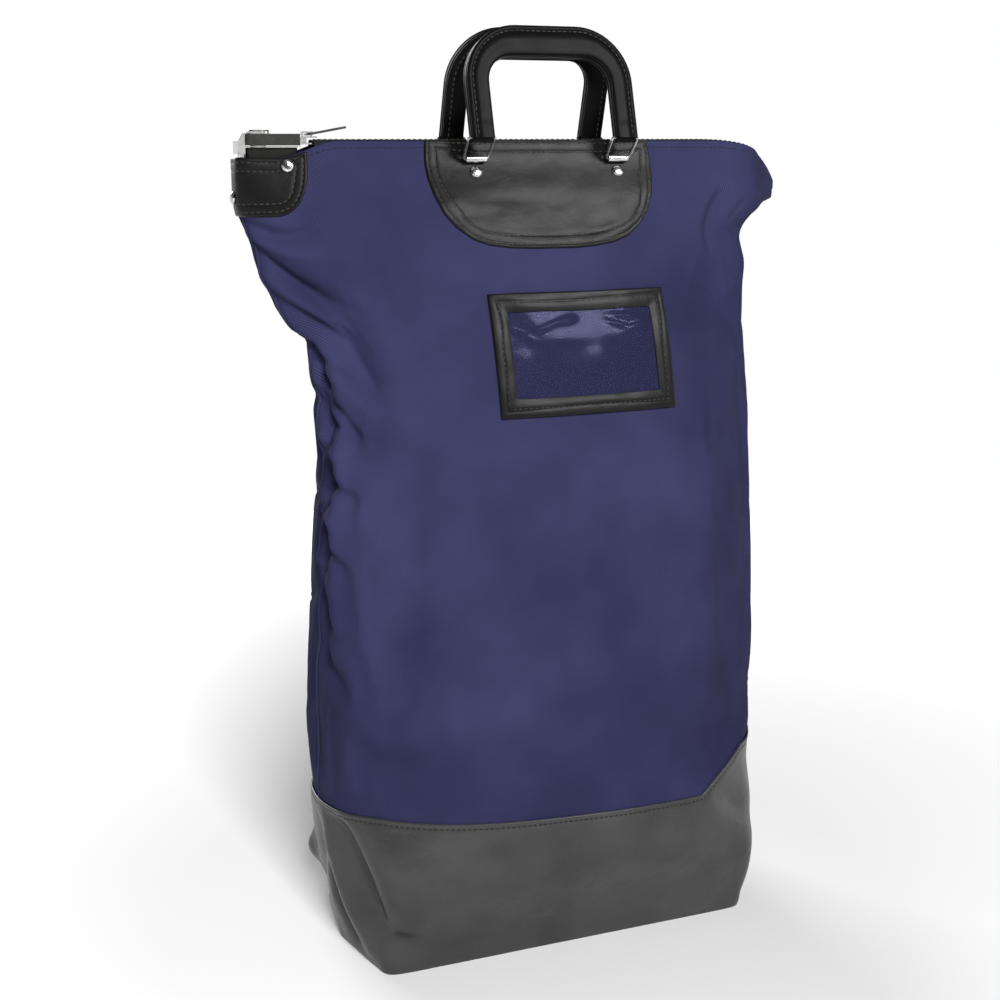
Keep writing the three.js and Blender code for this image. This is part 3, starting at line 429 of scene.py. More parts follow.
def new_object(name, vertices, faces, material, uvs=None):
    mesh = bpy.data.meshes.new(name)
    mesh.from_pydata((np.asarray(vertices) * MM).tolist(), [], [tuple(map(int, f)) for f in faces])
    mesh.shade_smooth()
    mesh.set_sharp_from_angle(angle=SHARP)
    mesh.materials.append(material)
    if uvs is not None:
        corners = np.zeros(len(mesh.loops), int)
        mesh.loops.foreach_get("vertex_index", corners)
        layer = mesh.uv_layers.new(name="cloth")
        layer.data.foreach_set("uv", np.asarray(uvs)[corners].astype(np.float32).ravel())
    obj = bpy.data.objects.new(name, mesh)
    bpy.context.scene.collection.objects.link(obj)
    return obj


def grid_faces(rows, columns, wrap=False):
    r, c = np.meshgrid(np.arange(rows - 1), np.arange(columns if wrap else columns - 1), indexing="ij")
    d = (c + 1) % columns
    quads = np.stack([r * columns + c, r * columns + d, (r + 1) * columns + d, (r + 1) * columns + c], -1)
    return quads.reshape(-1, 4).tolist()


def outward(vertices, faces):
    """The faces, all turned round if the solid is inside out."""
    vertices = np.asarray(vertices)
    volume = 0.0
    for face in faces:
        a = vertices[face[0]]
        for b, c in zip(face[1:-1], face[2:]):
            volume += np.dot(a, np.cross(vertices[b], vertices[c]))
    return faces if volume > 0 else [face[::-1] for face in faces]


def shell(name, outer, inner, material, uvs=None):
    """A sheet with thickness between two grids of the same size."""
    rows, columns = outer.shape[:2]
    count = rows * columns
    vertices = np.concatenate([outer.reshape(-1, 3), inner.reshape(-1, 3)])
    top = grid_faces(rows, columns)
    faces = top + [[v + count for v in face[::-1]] for face in top]
    index = np.arange(count).reshape(rows, columns)
    rim = np.concatenate([index[0], index[1:, -1], index[-1, -2::-1], index[-2:0:-1, 0]])
    faces += [[b, a, a + count, b + count] for a, b in zip(rim, np.roll(rim, -1))]
    if uvs is not None:
        uvs = np.concatenate([uvs.reshape(-1, 2)] * 2)
    return new_object(name, vertices, outward(vertices, faces), material, uvs)


def loft(name, rings, material, closed=False, caps=True):
    """A solid through rings of points: closed joins the last ring to the first, caps fills the two ends."""
    rings = np.asarray(rings)
    rows, columns = rings.shape[:2]
    vertices = rings.reshape(-1, 3)
    faces = grid_faces(rows + closed, columns, wrap=True)
    if closed:
        faces = [[v % (rows * columns) for v in face] for face in faces]
    elif caps:
        faces.append(list(range(columns))[::-1])
        faces.append(list(range((rows - 1) * columns, rows * columns)))
    return new_object(name, vertices, outward(vertices, faces), material)


def distances(points):
    """The distance along a line to each of its points."""
    return np.concatenate([[0], np.cumsum(np.linalg.norm(np.diff(points, axis=0), axis=1))])


def resampled(points, pitch):
    """Points spaced evenly along a line, with the tangents there and their shares of its length."""
    points = np.asarray(points, float)
    along = distances(points)
    count = max(int(along[-1] / pitch), 2)
    at = (np.arange(count) + 0.5) * along[-1] / count

    def sample(where):
        return np.stack([np.interp(where, along, points[:, i]) for i in range(points.shape[1])], -1)

    tangent = sample(np.minimum(at + 0.4, along[-1])) - sample(np.maximum(at - 0.4, 0))
    return sample(at), unit(tangent), at / along[-1]


def capsules(name, places, along, up, length, radius, material, dip=0.0, sides=6):
    """Small rounded rods, one at each place, their ends dipping by dip."""
    stations = np.array([-1, -0.86, -0.5, 0, 0.5, 0.86, 1]) * length / 2
    widths = np.array([0.25, 0.75, 1, 1, 1, 0.75, 0.25]) * radius
    lift = -dip * np.array([1, 0.7, 0.15, 0, 0.15, 0.7, 1])
    angle = 2 * math.pi * np.arange(sides) / sides
    across = np.cross(up, along)
    ring = across[:, None, None, :] * (widths[:, None] * np.cos(angle))[None, :, :, None]
    ring = ring + up[:, None, None, :] * (widths[:, None] * np.sin(angle) + lift[:, None])[None, :, :, None]
    ring = ring + along[:, None, None, :] * stations[None, :, None, None] + places[:, None, None, :]
    each = len(stations) * sides
    single = [face[::-1] for face in grid_faces(len(stations), sides, wrap=True)]
    single += [list(range(sides)), list(range(each - sides, each))[::-1]]
    single = outward(ring[0].reshape(-1, 3), single)
    faces = [[v + k * each for v in face] for k in range(len(places)) for face in single]
    return new_object(name, ring.reshape(-1, 3), faces, material)


STITCH = {"pitch": 4.2, "length": 3.0, "radius": 0.48, "dip": 0.42}
SUNK = 0.25  # how far the thread's middle lies below the vinyl's face


def stitches(name, rows, body, material=None):
    """Rows of thread: each row is (points, normals)."""
    places, along, up = [], [], []
    for points, normals in rows:
        at, tangent, share = resampled(points, STITCH["pitch"])
        source = np.linspace(0, 1, len(normals))
        normal = np.stack([np.interp(share, source, normals[:, i]) for i in range(3)], -1)
        normal -= tangent * (normal * tangent).sum(1, keepdims=True)
        places.append(at)
        along.append(tangent)
        up.append(unit(normal))
    obj = capsules(
        name, *(np.concatenate(v) for v in (places, along, up)),
        STITCH["length"], STITCH["radius"], material or THREAD, dip=STITCH["dip"],
    )
    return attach(obj, body)


ROW_PITCH = 4.0


def skin_row(path, offset):
    """A closed line of (s, z) laid on the skin, with the normals there."""
    path = resampled(np.concatenate([path, path[:1]]), ROW_PITCH)[0]
    return skin.at(path[:, 0], path[:, 1], offset)


# ---- materials
def srgb(r, g, b):
    values = [v / 255 for v in (r, g, b)]
    return tuple(v / 12.92 if v <= 0.04045 else ((v + 0.055) / 1.055) ** 2.4 for v in values) + (1,)


def grey(value):
    return srgb(value, value, value)


class Shader:
    """A small builder for node materials."""

    def __init__(self, name, color, roughness, metallic=0.0, **sockets):
        self.material = bpy.data.materials.new(name)
        self.material.use_nodes = True
        self.nodes = self.material.node_tree.nodes
        self.links = self.material.node_tree.links
        self.bsdf = self.nodes["Principled BSDF"]
        values = {"Base Color": color, "Roughness": roughness, "Metallic": metallic}
        values.update({key.replace("_", " "): value for key, value in sockets.items()})
        for key, value in values.items():
            self.bsdf.inputs[key].default_value = value

    def node(self, kind, inputs=None, **settings):
        node = self.nodes.new(kind)
        for key, value in settings.items():
            setattr(node, key, value)
        for key, value in (inputs or {}).items():
            if isinstance(value, bpy.types.NodeSocket):
                self.links.new(value, node.inputs[key])
            else:
                node.inputs[key].default_value = value
        return node

    def math(self, operation, a, b=0.0):
        return self.node("ShaderNodeMath", {0: a, 1: b}, operation=operation).outputs[0]

    def place(self):
        """Object coordinates, in metres."""
        return self.node("ShaderNodeTexCoord").outputs["Object"]

    def noise(self, scale, detail=3.0, roughness=0.55, vector=None):
        inputs = {"Scale": scale, "Detail": detail, "Roughness": roughness, "Vector": vector or self.place()}
        return self.node("ShaderNodeTexNoise", inputs).outputs["Fac"]

    def ramp(self, fac, low, high):
        node = self.node("ShaderNodeValToRGB", {"Fac": fac})
        for element, (position, color) in zip(node.color_ramp.elements, (low, high)):
            element.position, element.color = position, color
        return node.outputs["Color"]

    def between(self, fac, low, high):
        node = self.node("ShaderNodeMapRange", {"Value": fac, "To Min": low, "To Max": high})
        return node.outputs["Result"]

    def bump(self, height, distance, strength=1.0, normal=None):
        inputs = {"Height": height, "Distance": distance, "Strength": strength}
        if normal is not None:
            inputs["Normal"] = normal
        return self.node("ShaderNodeBump", inputs).outputs["Normal"]

    def drive(self, socket, value):
        self.links.new(value, self.bsdf.inputs[socket])


TWILL = 1.25  # mm between the ribs of the nylon
TWILL_SLOPE = 0.7
YARN = 0.85


def nylon():
    shader = Shader("nylon_cloth", srgb(42, 43, 74), 0.6, Specular_IOR_Level=0.01)
    uv = shader.node("ShaderNodeUVMap", uv_map="cloth").outputs["UV"]
    split = shader.node("ShaderNodeSeparateXYZ", {0: uv})
    across, up = split.outputs["X"], split.outputs["Y"]
    turn = 2 * math.pi
    slant = shader.math("ADD", up, shader.math("MULTIPLY", across, TWILL_SLOPE))
    twill = shader.math("SINE", shader.math("MULTIPLY", slant, turn / (TWILL * math.hypot(1, TWILL_SLOPE))))
    warp = shader.math("SINE", shader.math("MULTIPLY", across, turn / YARN))
    weft = shader.math("SINE", shader.math("MULTIPLY", up, turn / YARN))
    threads = shader.math("MULTIPLY", warp, weft)
    weave = shader.math("ADD", shader.math("MULTIPLY", twill, 0.6), shader.math("MULTIPLY", threads, 0.4))
    crumple = shader.noise(34.0, 4.0)
    normal = shader.bump(crumple, 0.003, 0.5)
    shader.drive("Normal", shader.bump(weave, 0.00012, 0.8, normal))
    fade = shader.noise(9.0, 3.0)
    tone = shader.math("ADD", shader.math("MULTIPLY", fade, 0.8), shader.math("MULTIPLY", weave, 0.36))
    shader.drive("Base Color", shader.ramp(tone, (0.1, srgb(24, 24, 44)), (0.85, srgb(54, 55, 87))))
    shader.drive("Roughness", shader.between(fade, 0.5, 0.66))
    return shader.material


def vinyl(name, dark, light, roughness, grain=900.0, relief=0.00008, specular=0.4, dents=0.0012):
    shader = Shader(name, dark, roughness[0], Specular_IOR_Level=specular)
    patches = shader.noise(14.0, 4.0)
    shader.drive("Base Color", shader.ramp(patches, (0.3, dark), (0.75, light)))
    shader.drive("Roughness", shader.between(shader.noise(60.0, 5.0), *roughness))
    inputs = {"Vector": shader.place(), "Scale": grain}
    cells = shader.node("ShaderNodeTexVoronoi", inputs, feature="F1").outputs["Distance"]
    normal = shader.bump(shader.noise(42.0, 3.0), dents, 0.4)
    shader.drive("Normal", shader.bump(cells, relief, 0.6, normal))
    return shader.material


def metal(name, color, roughness, scratch=0.25, stretch=(30, 400, 400), metallic=1.0, edge=0.0005):
    shader = Shader(name, color, roughness, metallic)
    place = shader.node("ShaderNodeMapping", {"Vector": shader.place(), "Scale": stretch}).outputs["Vector"]
    marks = shader.noise(3.0, 5.0, 0.7, place)
    haze = shader.noise(160.0, 3.0)
    eased = shader.node("ShaderNodeBevel", {"Radius": edge}, samples=4).outputs["Normal"]
    shader.drive("Roughness", shader.between(haze, roughness * 0.7, roughness * 1.5))
    shader.drive("Normal", shader.bump(marks, 0.00004, scratch, eased))
    dull = tuple(c * 0.78 for c in color[:3]) + (1,)
    shader.drive("Base Color", shader.ramp(haze, (0.35, dull), (0.6, color)))
    return shader.material


def film():
    shader = Shader("clear_film", (0.018, 0.019, 0.05, 1), 0.09, Alpha=0.35, Specular_IOR_Level=0.09,
                    Specular_Tint=(0.6, 0.6, 1, 1))
    shader.drive("Roughness", shader.between(shader.noise(12.0, 2.0), 0.1, 0.15))
    return shader.material


def thread(name, dark, light):
    shader = Shader(name, dark, 0.5, Specular_IOR_Level=0.3)
    wave = shader.node("ShaderNodeTexWave", {"Vector": shader.place(), "Scale": 900.0}).outputs["Fac"]
    shader.drive("Normal", shader.bump(wave, 0.0001, 0.5))
    shader.drive("Base Color", shader.ramp(shader.noise(300.0), (0.3, dark), (0.7, light)))
    return shader.material


NYLON = nylon()
BOOT = vinyl("boot_vinyl", grey(37), grey(55), (0.28, 0.4), 650.0, specular=0.28, dents=0.004)
BLACK = vinyl("black_vinyl", grey(8), grey(15), (0.32, 0.44), specular=0.15, dents=0.0015)
HANDLE = vinyl("handle_vinyl", grey(7), grey(13), (0.26, 0.36), 1100.0, 0.00005, 0.03, 0.0008)
FILM = film()
TAPE = vinyl("zip_tape", srgb(20, 20, 22), srgb(28, 28, 31), (0.8, 0.95), 1600.0, 0.0002, 0.2)
COIL = metal("zip_coil", srgb(24, 24, 27), 0.35, metallic=0.0, edge=0.0001)
NICKEL = metal("bright_nickel", srgb(198, 198, 197), 0.16)
STEEL = metal("lock_steel", srgb(74, 74, 72), 0.34, 0.5)
ZINC = metal("cast_zinc", srgb(46, 46, 45), 0.45, 0.5, (200, 200, 200))
BRASS = metal("plug_brass", srgb(214, 190, 130), 0.2)
THREAD = thread("grey_thread", srgb(26, 25, 23), srgb(54, 52, 47))
DARK_THREAD = thread("dark_thread", grey(8), grey(24))
FINISHES = dict(
    nylon_cloth=NYLON, boot_vinyl=BOOT, black_vinyl=BLACK, handle_vinyl=HANDLE, clear_film=FILM,
    zip_tape=TAPE, zip_coil=COIL, bright_nickel=NICKEL, lock_steel=STEEL, cast_zinc=ZINC, plug_brass=BRASS,
)

for part in frame["record"]["subparts"]:
    mesh = frame["nodes"][part["node"]].data
    mesh.materials.clear()
    mesh.materials.append(FINISHES[part["material_slot"]])
    mesh.shade_flat()

simulate()


# ---- panels
HEM_Z = 608  # where the hem's folded edge ends
HEM_TOP = 614.5
HEM_ROW = HEM_Z + 1.6  # its stitching
HEM_LEVELS = [HEM_Z - 1, HEM_Z, HEM_Z + 1, HEM_ROW, HEM_Z + 2.2, HEM_Z + 3.2, HEM_TOP - 1, HEM_TOP]
HEM_THICK = 0.5
HEM_GROOVE, HEM_GROOVE_HALF = 0.45, 0.8
SEAM_EDGE = 0.5


def panel(side):
    """One cloth panel from inside the boot to the mouth, with its folded hem."""
    columns = np.linspace(0, FLAT_WIDTH, COLUMNS + 1)
    columns[[0, -1]] = [SEAM_EDGE, FLAT_WIDTH - SEAM_EDGE]
    levels = LEVELS[(LEVELS >= BOOT_TOP - BOOT_LAP) & (LEVELS < HEM_Z - 2)]
    s, z = np.meshgrid(side * columns, np.append(levels, HEM_LEVELS))
    z = beside_rim(s, z)
    hem = HEM_THICK * (smoothstep(z, HEM_Z - 1, HEM_Z) - smoothstep(z, HEM_TOP - 1, HEM_TOP))
    groove = HEM_GROOVE * np.exp(-(((z - HEM_ROW) / HEM_GROOVE_HALF) ** 2))
    outer, _ = skin.at(s, z, hem - groove - 0.05)
    inner, _ = skin.at(s, z, -CLOTH)
    obj = shell(f"{SIDES[side]}_cloth", outer, inner, NYLON, np.stack([-s, z], -1))
    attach(obj, "bag")
    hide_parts(f"{SIDES[side]}_panel")


TUBE_SIDES = 8


def tube(name, path, normals, width, height, material):
    """A flattened rod along a line, width across it and height away from the cloth."""
    across = unit(np.cross(normals, unit(np.gradient(path, axis=0))))
    angle = 2 * math.pi * np.arange(TUBE_SIDES) / TUBE_SIDES
    rings = path[:, None] + across[:, None] * (width * np.cos(angle))[None, :, None]
    rings = rings + normals[:, None] * (height * np.sin(angle))[None, :, None]
    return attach(loft(name, rings, material), "bag")


def side_seams():
    for name, s in (("left_side_seam", 0.0), ("right_side_seam", FLAT_WIDTH)):
        z = np.arange(float(rim_height(s)) - 6, HEM_TOP - 1, 2.6)
        path, normals = skin.at(s, z, 0.2)
        tube(name, path, normals, 1.3, 1.0, NYLON)


# ---- boot
BOOT_OUT = BOOT_GAP + VINYL
BOOT_FLOOR = 1.5
# How far the wall stands out or in at the foot, by level, and at the rim, by the distance below it.
FOOT_ROLL = [(0, -0.6), (0.7, -0.15)]
BOOT_ROW = 4.2  # the stitching, below the rim
RIM_ROLL = [(8, 0), (6, -0.05), (4.8, -0.3), (BOOT_ROW, -0.45), (3.6, -0.3)]
RIM_ROLL += [(2.4, 0), (1, 0.05), (0.4, -0.15), (0, -0.6)]


def boot():
    """The vinyl box: walls with a turned rim, and a flat floor, as one closed shell."""
    profile = FOOT_ROLL + [(z, 0) for z in range(3, BOOT_TOP - 8, 3)]
    profile += [(BOOT_TOP - below, roll) for below, roll in RIM_ROLL]
    levels, rolls = np.array(profile, float).T
    s, z = np.meshgrid(S_VALUES[:-1], levels)
    z = beside_rim(s, z)
    outer, _ = skin.at(s, z, BOOT_OUT + rolls[:, None])
    outer[..., 2] = np.maximum(outer[..., 2], 0)
    outer[0, :, 2] = 0
    inner, _ = skin.at(s, z, BOOT_GAP)
    inner[..., 2] = np.maximum(inner[..., 2], BOOT_FLOOR)
    walls = np.concatenate([outer, inner[::-1]])
    rows, columns = walls.shape[:2]
    vertices = np.concatenate([walls.reshape(-1, 3), [[0, 0, 0], [0, 0, BOOT_FLOOR]]])
    faces = grid_faces(rows, columns, wrap=True)
    base, last = rows * columns, (rows - 1) * columns
    for c in range(columns):
        d = (c + 1) % columns
        faces.append([d, c, base])
        faces.append([last + c, last + d, base + 1])
    obj = new_object("boot_shell", vertices, outward(vertices, faces), BOOT)
    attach(obj, "bag")
    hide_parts("bottom_boot")
    line = np.linspace(-FLAT_WIDTH + 2, FLAT_WIDTH - 2, 400)
    points, normals = skin.at(line, beside_rim(line, BOOT_TOP - BOOT_ROW), BOOT_OUT - 0.35)
    stitches("boot_stitching", [(points, normals)], "bag", DARK_THREAD)


# ---- vinyl sheets on the cloth
def closed_line(corners, count):
    """A closed outline resampled to count points."""
    corners = np.array(corners + corners[:1], float)
    along = distances(corners)
    at = np.linspace(0, along[-1], count, endpoint=False)
    return np.stack([np.interp(at, along, corners[:, i]) for i in (0, 1)], -1)


CORNER_STEPS = 8


def rounded(corners, radii):
    """Corners of a polygon eased by quadratic curves."""
    line = []
    corners = np.array(corners, float)
    for i, (corner, radius) in enumerate(zip(corners, radii)):
        before, after = corners[i - 1] - corner, corners[(i + 1) % len(corners)] - corner
        start = corner + before / np.linalg.norm(before) * radius
        end = corner + after / np.linalg.norm(after) * radius
        for t in np.linspace(0, 1, CORNER_STEPS):
            line.append(tuple((1 - t) ** 2 * start + 2 * t * (1 - t) * corner + t**2 * end))
    return line


GROOVE = 0.26
GROOVE_HALF = 0.75


def edge_profile(distance, rows):
    """Height of a sewn vinyl sheet's top over its underside, by the distance from its edge."""
    height = VINYL * (0.35 + 0.65 * np.sqrt(np.clip(distance, 0, 1)))
    for row in rows:
        height = height - GROOVE * np.exp(-(((distance - row) / GROOVE_HALF) ** 2))
    return height


def sewn_sheet(name, outline, core, low, rows, to_core=True):
    """A vinyl sheet on the skin from its outline in to a core line; rows are how far in it is stitched."""
    reach = np.linalg.norm(core - outline, axis=1)
    near = sorted({0, 0.25, 0.7, 1.4} | {row + d for row in rows for d in (-1.5, -0.7, 0, 0.7, 1.5)})
    near = [d for d in near if d < reach.min() - 1.5]
    steps = [np.full(len(outline), d) / reach for d in near]
    count = max(int((reach.max() - near[-1]) / 3.5), 2) if to_core else 2
    steps += [steps[-1] + (1 - steps[len(near) - 1]) * t for t in np.linspace(0, 1, count + 1)[1:]]
    top, under = [], []
    for share in steps:
        place = outline + (core - outline) * share[:, None]
        height = edge_profile(share * reach, rows)
        if not to_core:
            height = np.minimum(height, edge_profile((1 - share) * reach, []))
        top.append(skin.at(place[:, 0], place[:, 1], low + height)[0])
        under.append(skin.at(place[:, 0], place[:, 1], low)[0])
    rings = top[::-1] + under if to_core else top + under[::-1]
    obj = loft(name, rings, BLACK, closed=not to_core, caps=False)
    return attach(obj, "bag")


def inset_rows(outline, core, rows, offset):
    """Stitch rows at set distances in from an outline."""
    reach = np.linalg.norm(core - outline, axis=1)[:, None]
    return [skin_row(outline + (core - outline) * row / reach, offset) for row in rows]


def on_cloth(side, places):
    """(x, z) on one side to (s, z)."""
    return np.array([(side * FLAT_WIDTH * float(fraction_at(x, z)), z) for x, z in places])


PATCH_MIDDLE, PATCH_TOP, PATCH_BOTTOM = -4, 615.2, 537
PATCH_HALF = 91.5
PATCH_ROWS = (3, 9.5)
PATCH_CORE_HALF, PATCH_CORE_Z = 54, 580.0


def handle_patch(side):
    right = [(90, PATCH_TOP), (PATCH_HALF, 600), (91, 588), (88, 575), (83, 563), (74, 552.5), (63, 544.5),
             (50, 540), (34, 537.8), (16, PATCH_BOTTOM)]
    shape = right + [(-x, z) for x, z in right[::-1]]
    outline = closed_line([(x + PATCH_MIDDLE, z) for x, z in shape], 220)
    middle = np.clip(outline[:, 0], PATCH_MIDDLE - PATCH_CORE_HALF, PATCH_MIDDLE + PATCH_CORE_HALF)
    core = np.stack([middle, np.full(len(outline), PATCH_CORE_Z)], -1)
    outline, core = on_cloth(side, outline), on_cloth(side, core)
    obj = sewn_sheet(f"{SIDES[side]}_patch_sheet", outline, core, GAP, PATCH_ROWS)
    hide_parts(f"{SIDES[side]}_handle_patch")
    rows = inset_rows(outline, core, PATCH_ROWS, OVERLAY - SUNK)
    stitches(f"{SIDES[side]}_patch_stitching", rows, "bag")


CORNER_END = 0.12 * FLAT_WIDTH
CORNER_BOTTOM, CORNER_TOP, CORNER_PEAK = 572, 613.5, 615.5
CORNER_ROWS = (3.5, 9.5)
CORNER_CORE_HALF, CORNER_CORE_Z = 30, 593.0


def corner_patch():
    right = [(CORNER_END, CORNER_BOTTOM), (CORNER_END, CORNER_TOP)]
    left = [(-s, z) for s, z in right[::-1]]
    outline = closed_line(rounded(left + right + [(0, CORNER_PEAK)], [1.5, 24, 24, 1.5, 10]), 200)
    middle = np.clip(outline[:, 0], -CORNER_CORE_HALF, CORNER_CORE_HALF)
    core = np.stack([middle, np.full(len(outline), CORNER_CORE_Z)], -1)
    obj = sewn_sheet("lock_corner_sheet", outline, core, GAP, CORNER_ROWS)
    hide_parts("lock_corner_patch")
    rows = inset_rows(outline, core, CORNER_ROWS, OVERLAY - SUNK)
    stitches("lock_corner_stitching", rows, "bag")


WINDOW = (-62, 81, 419, 506)  # left, right, bottom, top
WINDOW_STEPS = (36, 22)
WINDOW_BORDER = 13.3
WINDOW_ROW = 6.5
FILM_INSET = 5.3
FILM_THICK = 0.4
FRAME_LOW = GAP + FILM_THICK + GAP
# Wrinkles of the film: middle x and z, half length, half width, tilt and height.
FILM_RIPPLES = [
    (48, 487, 12, 1.6, -0.12, 1.4),
    (56, 481, 9, 1.5, 0.35, 1.2),
    (38, 482, 8, 1.4, -0.3, 1.0),
    (-2, 486, 6, 1.8, 0.1, 1.4),
    (-20, 482, 16, 1.5, 0.3, 0.9),
    (-38, 477, 8, 1.5, -0.4, 0.9),
]


def rectangle(inset):
    """The window's outline moved inwards, in steps across and upwards."""
    left, right, bottom, top = WINDOW + inset * np.array([1, -1, 1, -1])
    corners = np.array([(left, bottom), (right, bottom), (right, top), (left, top)])
    sides = zip(corners, np.roll(corners, -1, axis=0), WINDOW_STEPS * 2)
    return np.concatenate([a + (b - a) * np.arange(n)[:, None] / n for a, b, n in sides])


def window():
    outline, core = on_cloth(FRONT, rectangle(0)), on_cloth(FRONT, rectangle(WINDOW_BORDER))
    obj = sewn_sheet("window_frame_sheet", outline, core, FRAME_LOW, [WINDOW_ROW], to_core=False)
    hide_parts("window_frame")
    row = skin_row(on_cloth(FRONT, rectangle(WINDOW_ROW)), FRAME_LOW + VINYL - SUNK)
    stitches("window_stitching", [row], "bag")
    left, right, bottom, top = WINDOW
    x, z = np.meshgrid(np.linspace(left + FILM_INSET, right - FILM_INSET, 96),
                       np.linspace(bottom + FILM_INSET, top - FILM_INSET, 56))
    place = on_cloth(FRONT, np.stack([x, z], -1).reshape(-1, 2)).reshape(x.shape + (2,))
    clear = np.minimum(np.minimum(x - left, right - x), np.minimum(z - bottom, top - z)) - WINDOW_BORDER
    ripple = np.zeros_like(x)
    for cx, cz, wide, tall, tilt, height in FILM_RIPPLES:
        dx, dz = x - cx, z - cz
        along, off = dx * math.cos(tilt) + dz * math.sin(tilt), dz * math.cos(tilt) - dx * math.sin(tilt)
        ripple += height * np.exp(-((along / wide) ** 2) - (off / tall) ** 2)
    lift = GAP + 0.1 + ripple * smoothstep(clear, 0, 5)
    outer, _ = skin.at(place[..., 0], place[..., 1], lift + FILM_THICK * 0.6)
    inner, _ = skin.at(place[..., 0], place[..., 1], lift)
    sheet = shell("window_film_sheet", outer, inner, FILM)
    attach(sheet, "bag")
    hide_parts("window_film")


# ---- zip
UP = (0, 0, 1.0)
ZIP_FROM, ZIP_TO = 4 / 30, 29 / 30  # cloth fractions
TOOTH_PITCH = 1.7
TOOTH = {"y": 1.8, "z": 614.8, "length": 2.5, "radius": 0.52}
CORD = {"y": 2.9, "z": 614.9, "radius": 0.45}
TAPE_ROW = {"y": 4.9, "z": 615.4}
# The tape inside the panel, by level, and where it turns over, by distance from the middle and level.
TAPE_LEVELS = (608, 611, 613.6)
TAPE_TURN = [(6.4, 615.1), (5.2, 615.3), (4.2, 615.25), (3.5, 615.2)]


def mouth_line(side, y, z, pitch):
    """A line along the mouth at distance y from its middle."""
    us = np.linspace(0, 1, 400)
    x = np.interp(np.linspace(ZIP_FROM, ZIP_TO, 400), us, half_section(PANEL_TOP, us)[0])
    return resampled(sagged(x, side * y, z, lock=False), pitch)


def zipper(side):
    name = SIDES[side]
    us = np.linspace(ZIP_FROM, ZIP_TO, 140)
    x = half_section(PANEL_TOP, us)[0]
    s = side * us * FLAT_WIDTH
    hidden = -CLOTH - 0.6
    rows_out = [skin.at(s, z, hidden)[0] for z in TAPE_LEVELS]
    rows_in = [skin.at(s, z, hidden - 0.6)[0] for z in TAPE_LEVELS]
    for y, top in TAPE_TURN:
        rows_out.append(sagged(x, side * y, top, lock=False))
        rows_in.append(sagged(x, side * (y - 0.3), top - 0.7, lock=False))
    obj = shell(f"{name}_tape_strip", np.array(rows_out), np.array(rows_in), TAPE)
    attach(obj, "bag")
    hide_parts(f"{name}_zipper_tape")
    places, along, _ = mouth_line(side, TOOTH["y"], TOOTH["z"], TOOTH_PITCH)
    places = places + along * (0.5 * TOOTH_PITCH if side == BACK else 0)
    across = unit(np.cross(UP, along))
    up = np.cross(along, across)
    size = (TOOTH["length"], TOOTH["radius"])
    teeth = capsules(f"{name}_coil_teeth", places, across, up, *size, COIL, dip=0.25, sides=8)
    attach(teeth, "bag")
    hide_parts(f"{name}_zipper_coil")
    line, _, _ = mouth_line(side, CORD["y"], CORD["z"], 3)
    upward = np.broadcast_to(UP, line.shape)
    tube(f"{name}_coil_cord", line, upward, CORD["radius"], CORD["radius"], TAPE)
    line, _, _ = mouth_line(side, TAPE_ROW["y"], TAPE_ROW["z"], 3)
    stitches(f"{name}_tape_stitching", [(line, np.broadcast_to(UP, line.shape))], "bag")


def hem_stitches():
    for side in SIDES:
        line = side * np.linspace(0.125, 0.985, 160) * FLAT_WIDTH
        points, normals = skin.at(line, HEM_ROW, 0.05)
        stitches(f"{SIDES[side]}_hem_stitching", [(points, normals)], "bag", DARK_THREAD)


# ---- handles
HINGE = {"x": 0.5, "y": 31.36, "z": 616.827}
LEAN = math.radians(16)
HALF, LEG, BAR, RISE = 66, 17, 22.5, 82
ROUND_OUT, ROUND_IN = 42, 20
COVER = 2.2
COVER_AT = 2.8
HANDLE_ROW = 4.4  # the stitching, in from the outer edge
HANDLE_GROOVE = [(-1, 0), (-0.45, 0.3), (0, 0.45), (0.45, 0.3), (1, 0)]  # distance from the row, and depth
COVER_BOTTOM, CORE_BOTTOM = -1.2, -3.6
KEEPER = 8


def handle_path(half, top, radius, bottom):
    """Half a handle outline from the left leg's end over the bar to the right leg's end."""
    heights = np.concatenate([np.linspace(bottom, KEEPER - 1, 6), np.linspace(KEEPER, top - radius, 12)])
    leg = [(-half, y) for y in heights]
    turn = [(radius - half - radius * math.cos(a), top - radius + radius * math.sin(a))
            for a in np.linspace(0, math.pi / 2, 18)[1:]]
    bar = [(x, top) for x in np.linspace(radius - half, 0, 9)[1:]]
    left = leg + turn + bar
    return np.array(left + [(-x, y) for x, y in left[-2::-1]])


def handle_edges(bottom):
    outer = handle_path(HALF, RISE, ROUND_OUT, bottom)
    return outer, handle_path(HALF - LEG, RISE - BAR, ROUND_IN, bottom)


def handle_place(side, points, depth):
    """Handle coordinates (x, y) and depth outwards to the frame."""
    points, depth = np.asarray(points), np.asarray(depth)
    y = side * (HINGE["y"] - math.sin(LEAN) * points[..., 1] + math.cos(LEAN) * depth)
    z = HINGE["z"] + math.cos(LEAN) * points[..., 1] + math.sin(LEAN) * depth
    return np.stack([HINGE["x"] + points[..., 0], y, z], -1)


def handle_layer(side, name, bottom, profile, facing):
    """A layer lofted along the handle; profile gives (distance from the outer edge, height) round it."""
    outer, inner = handle_edges(bottom)
    width = np.linalg.norm(inner - outer, axis=1)
    rings = []
    for a, b, wide, (_, y) in zip(outer, inner, width, outer):
        section = np.array(profile(wide, y))
        place = a + (b - a) * (section[:, :1] / wide)
        rings.append(handle_place(side, place, facing * section[:, 1]))
    return loft(name, rings, HANDLE)


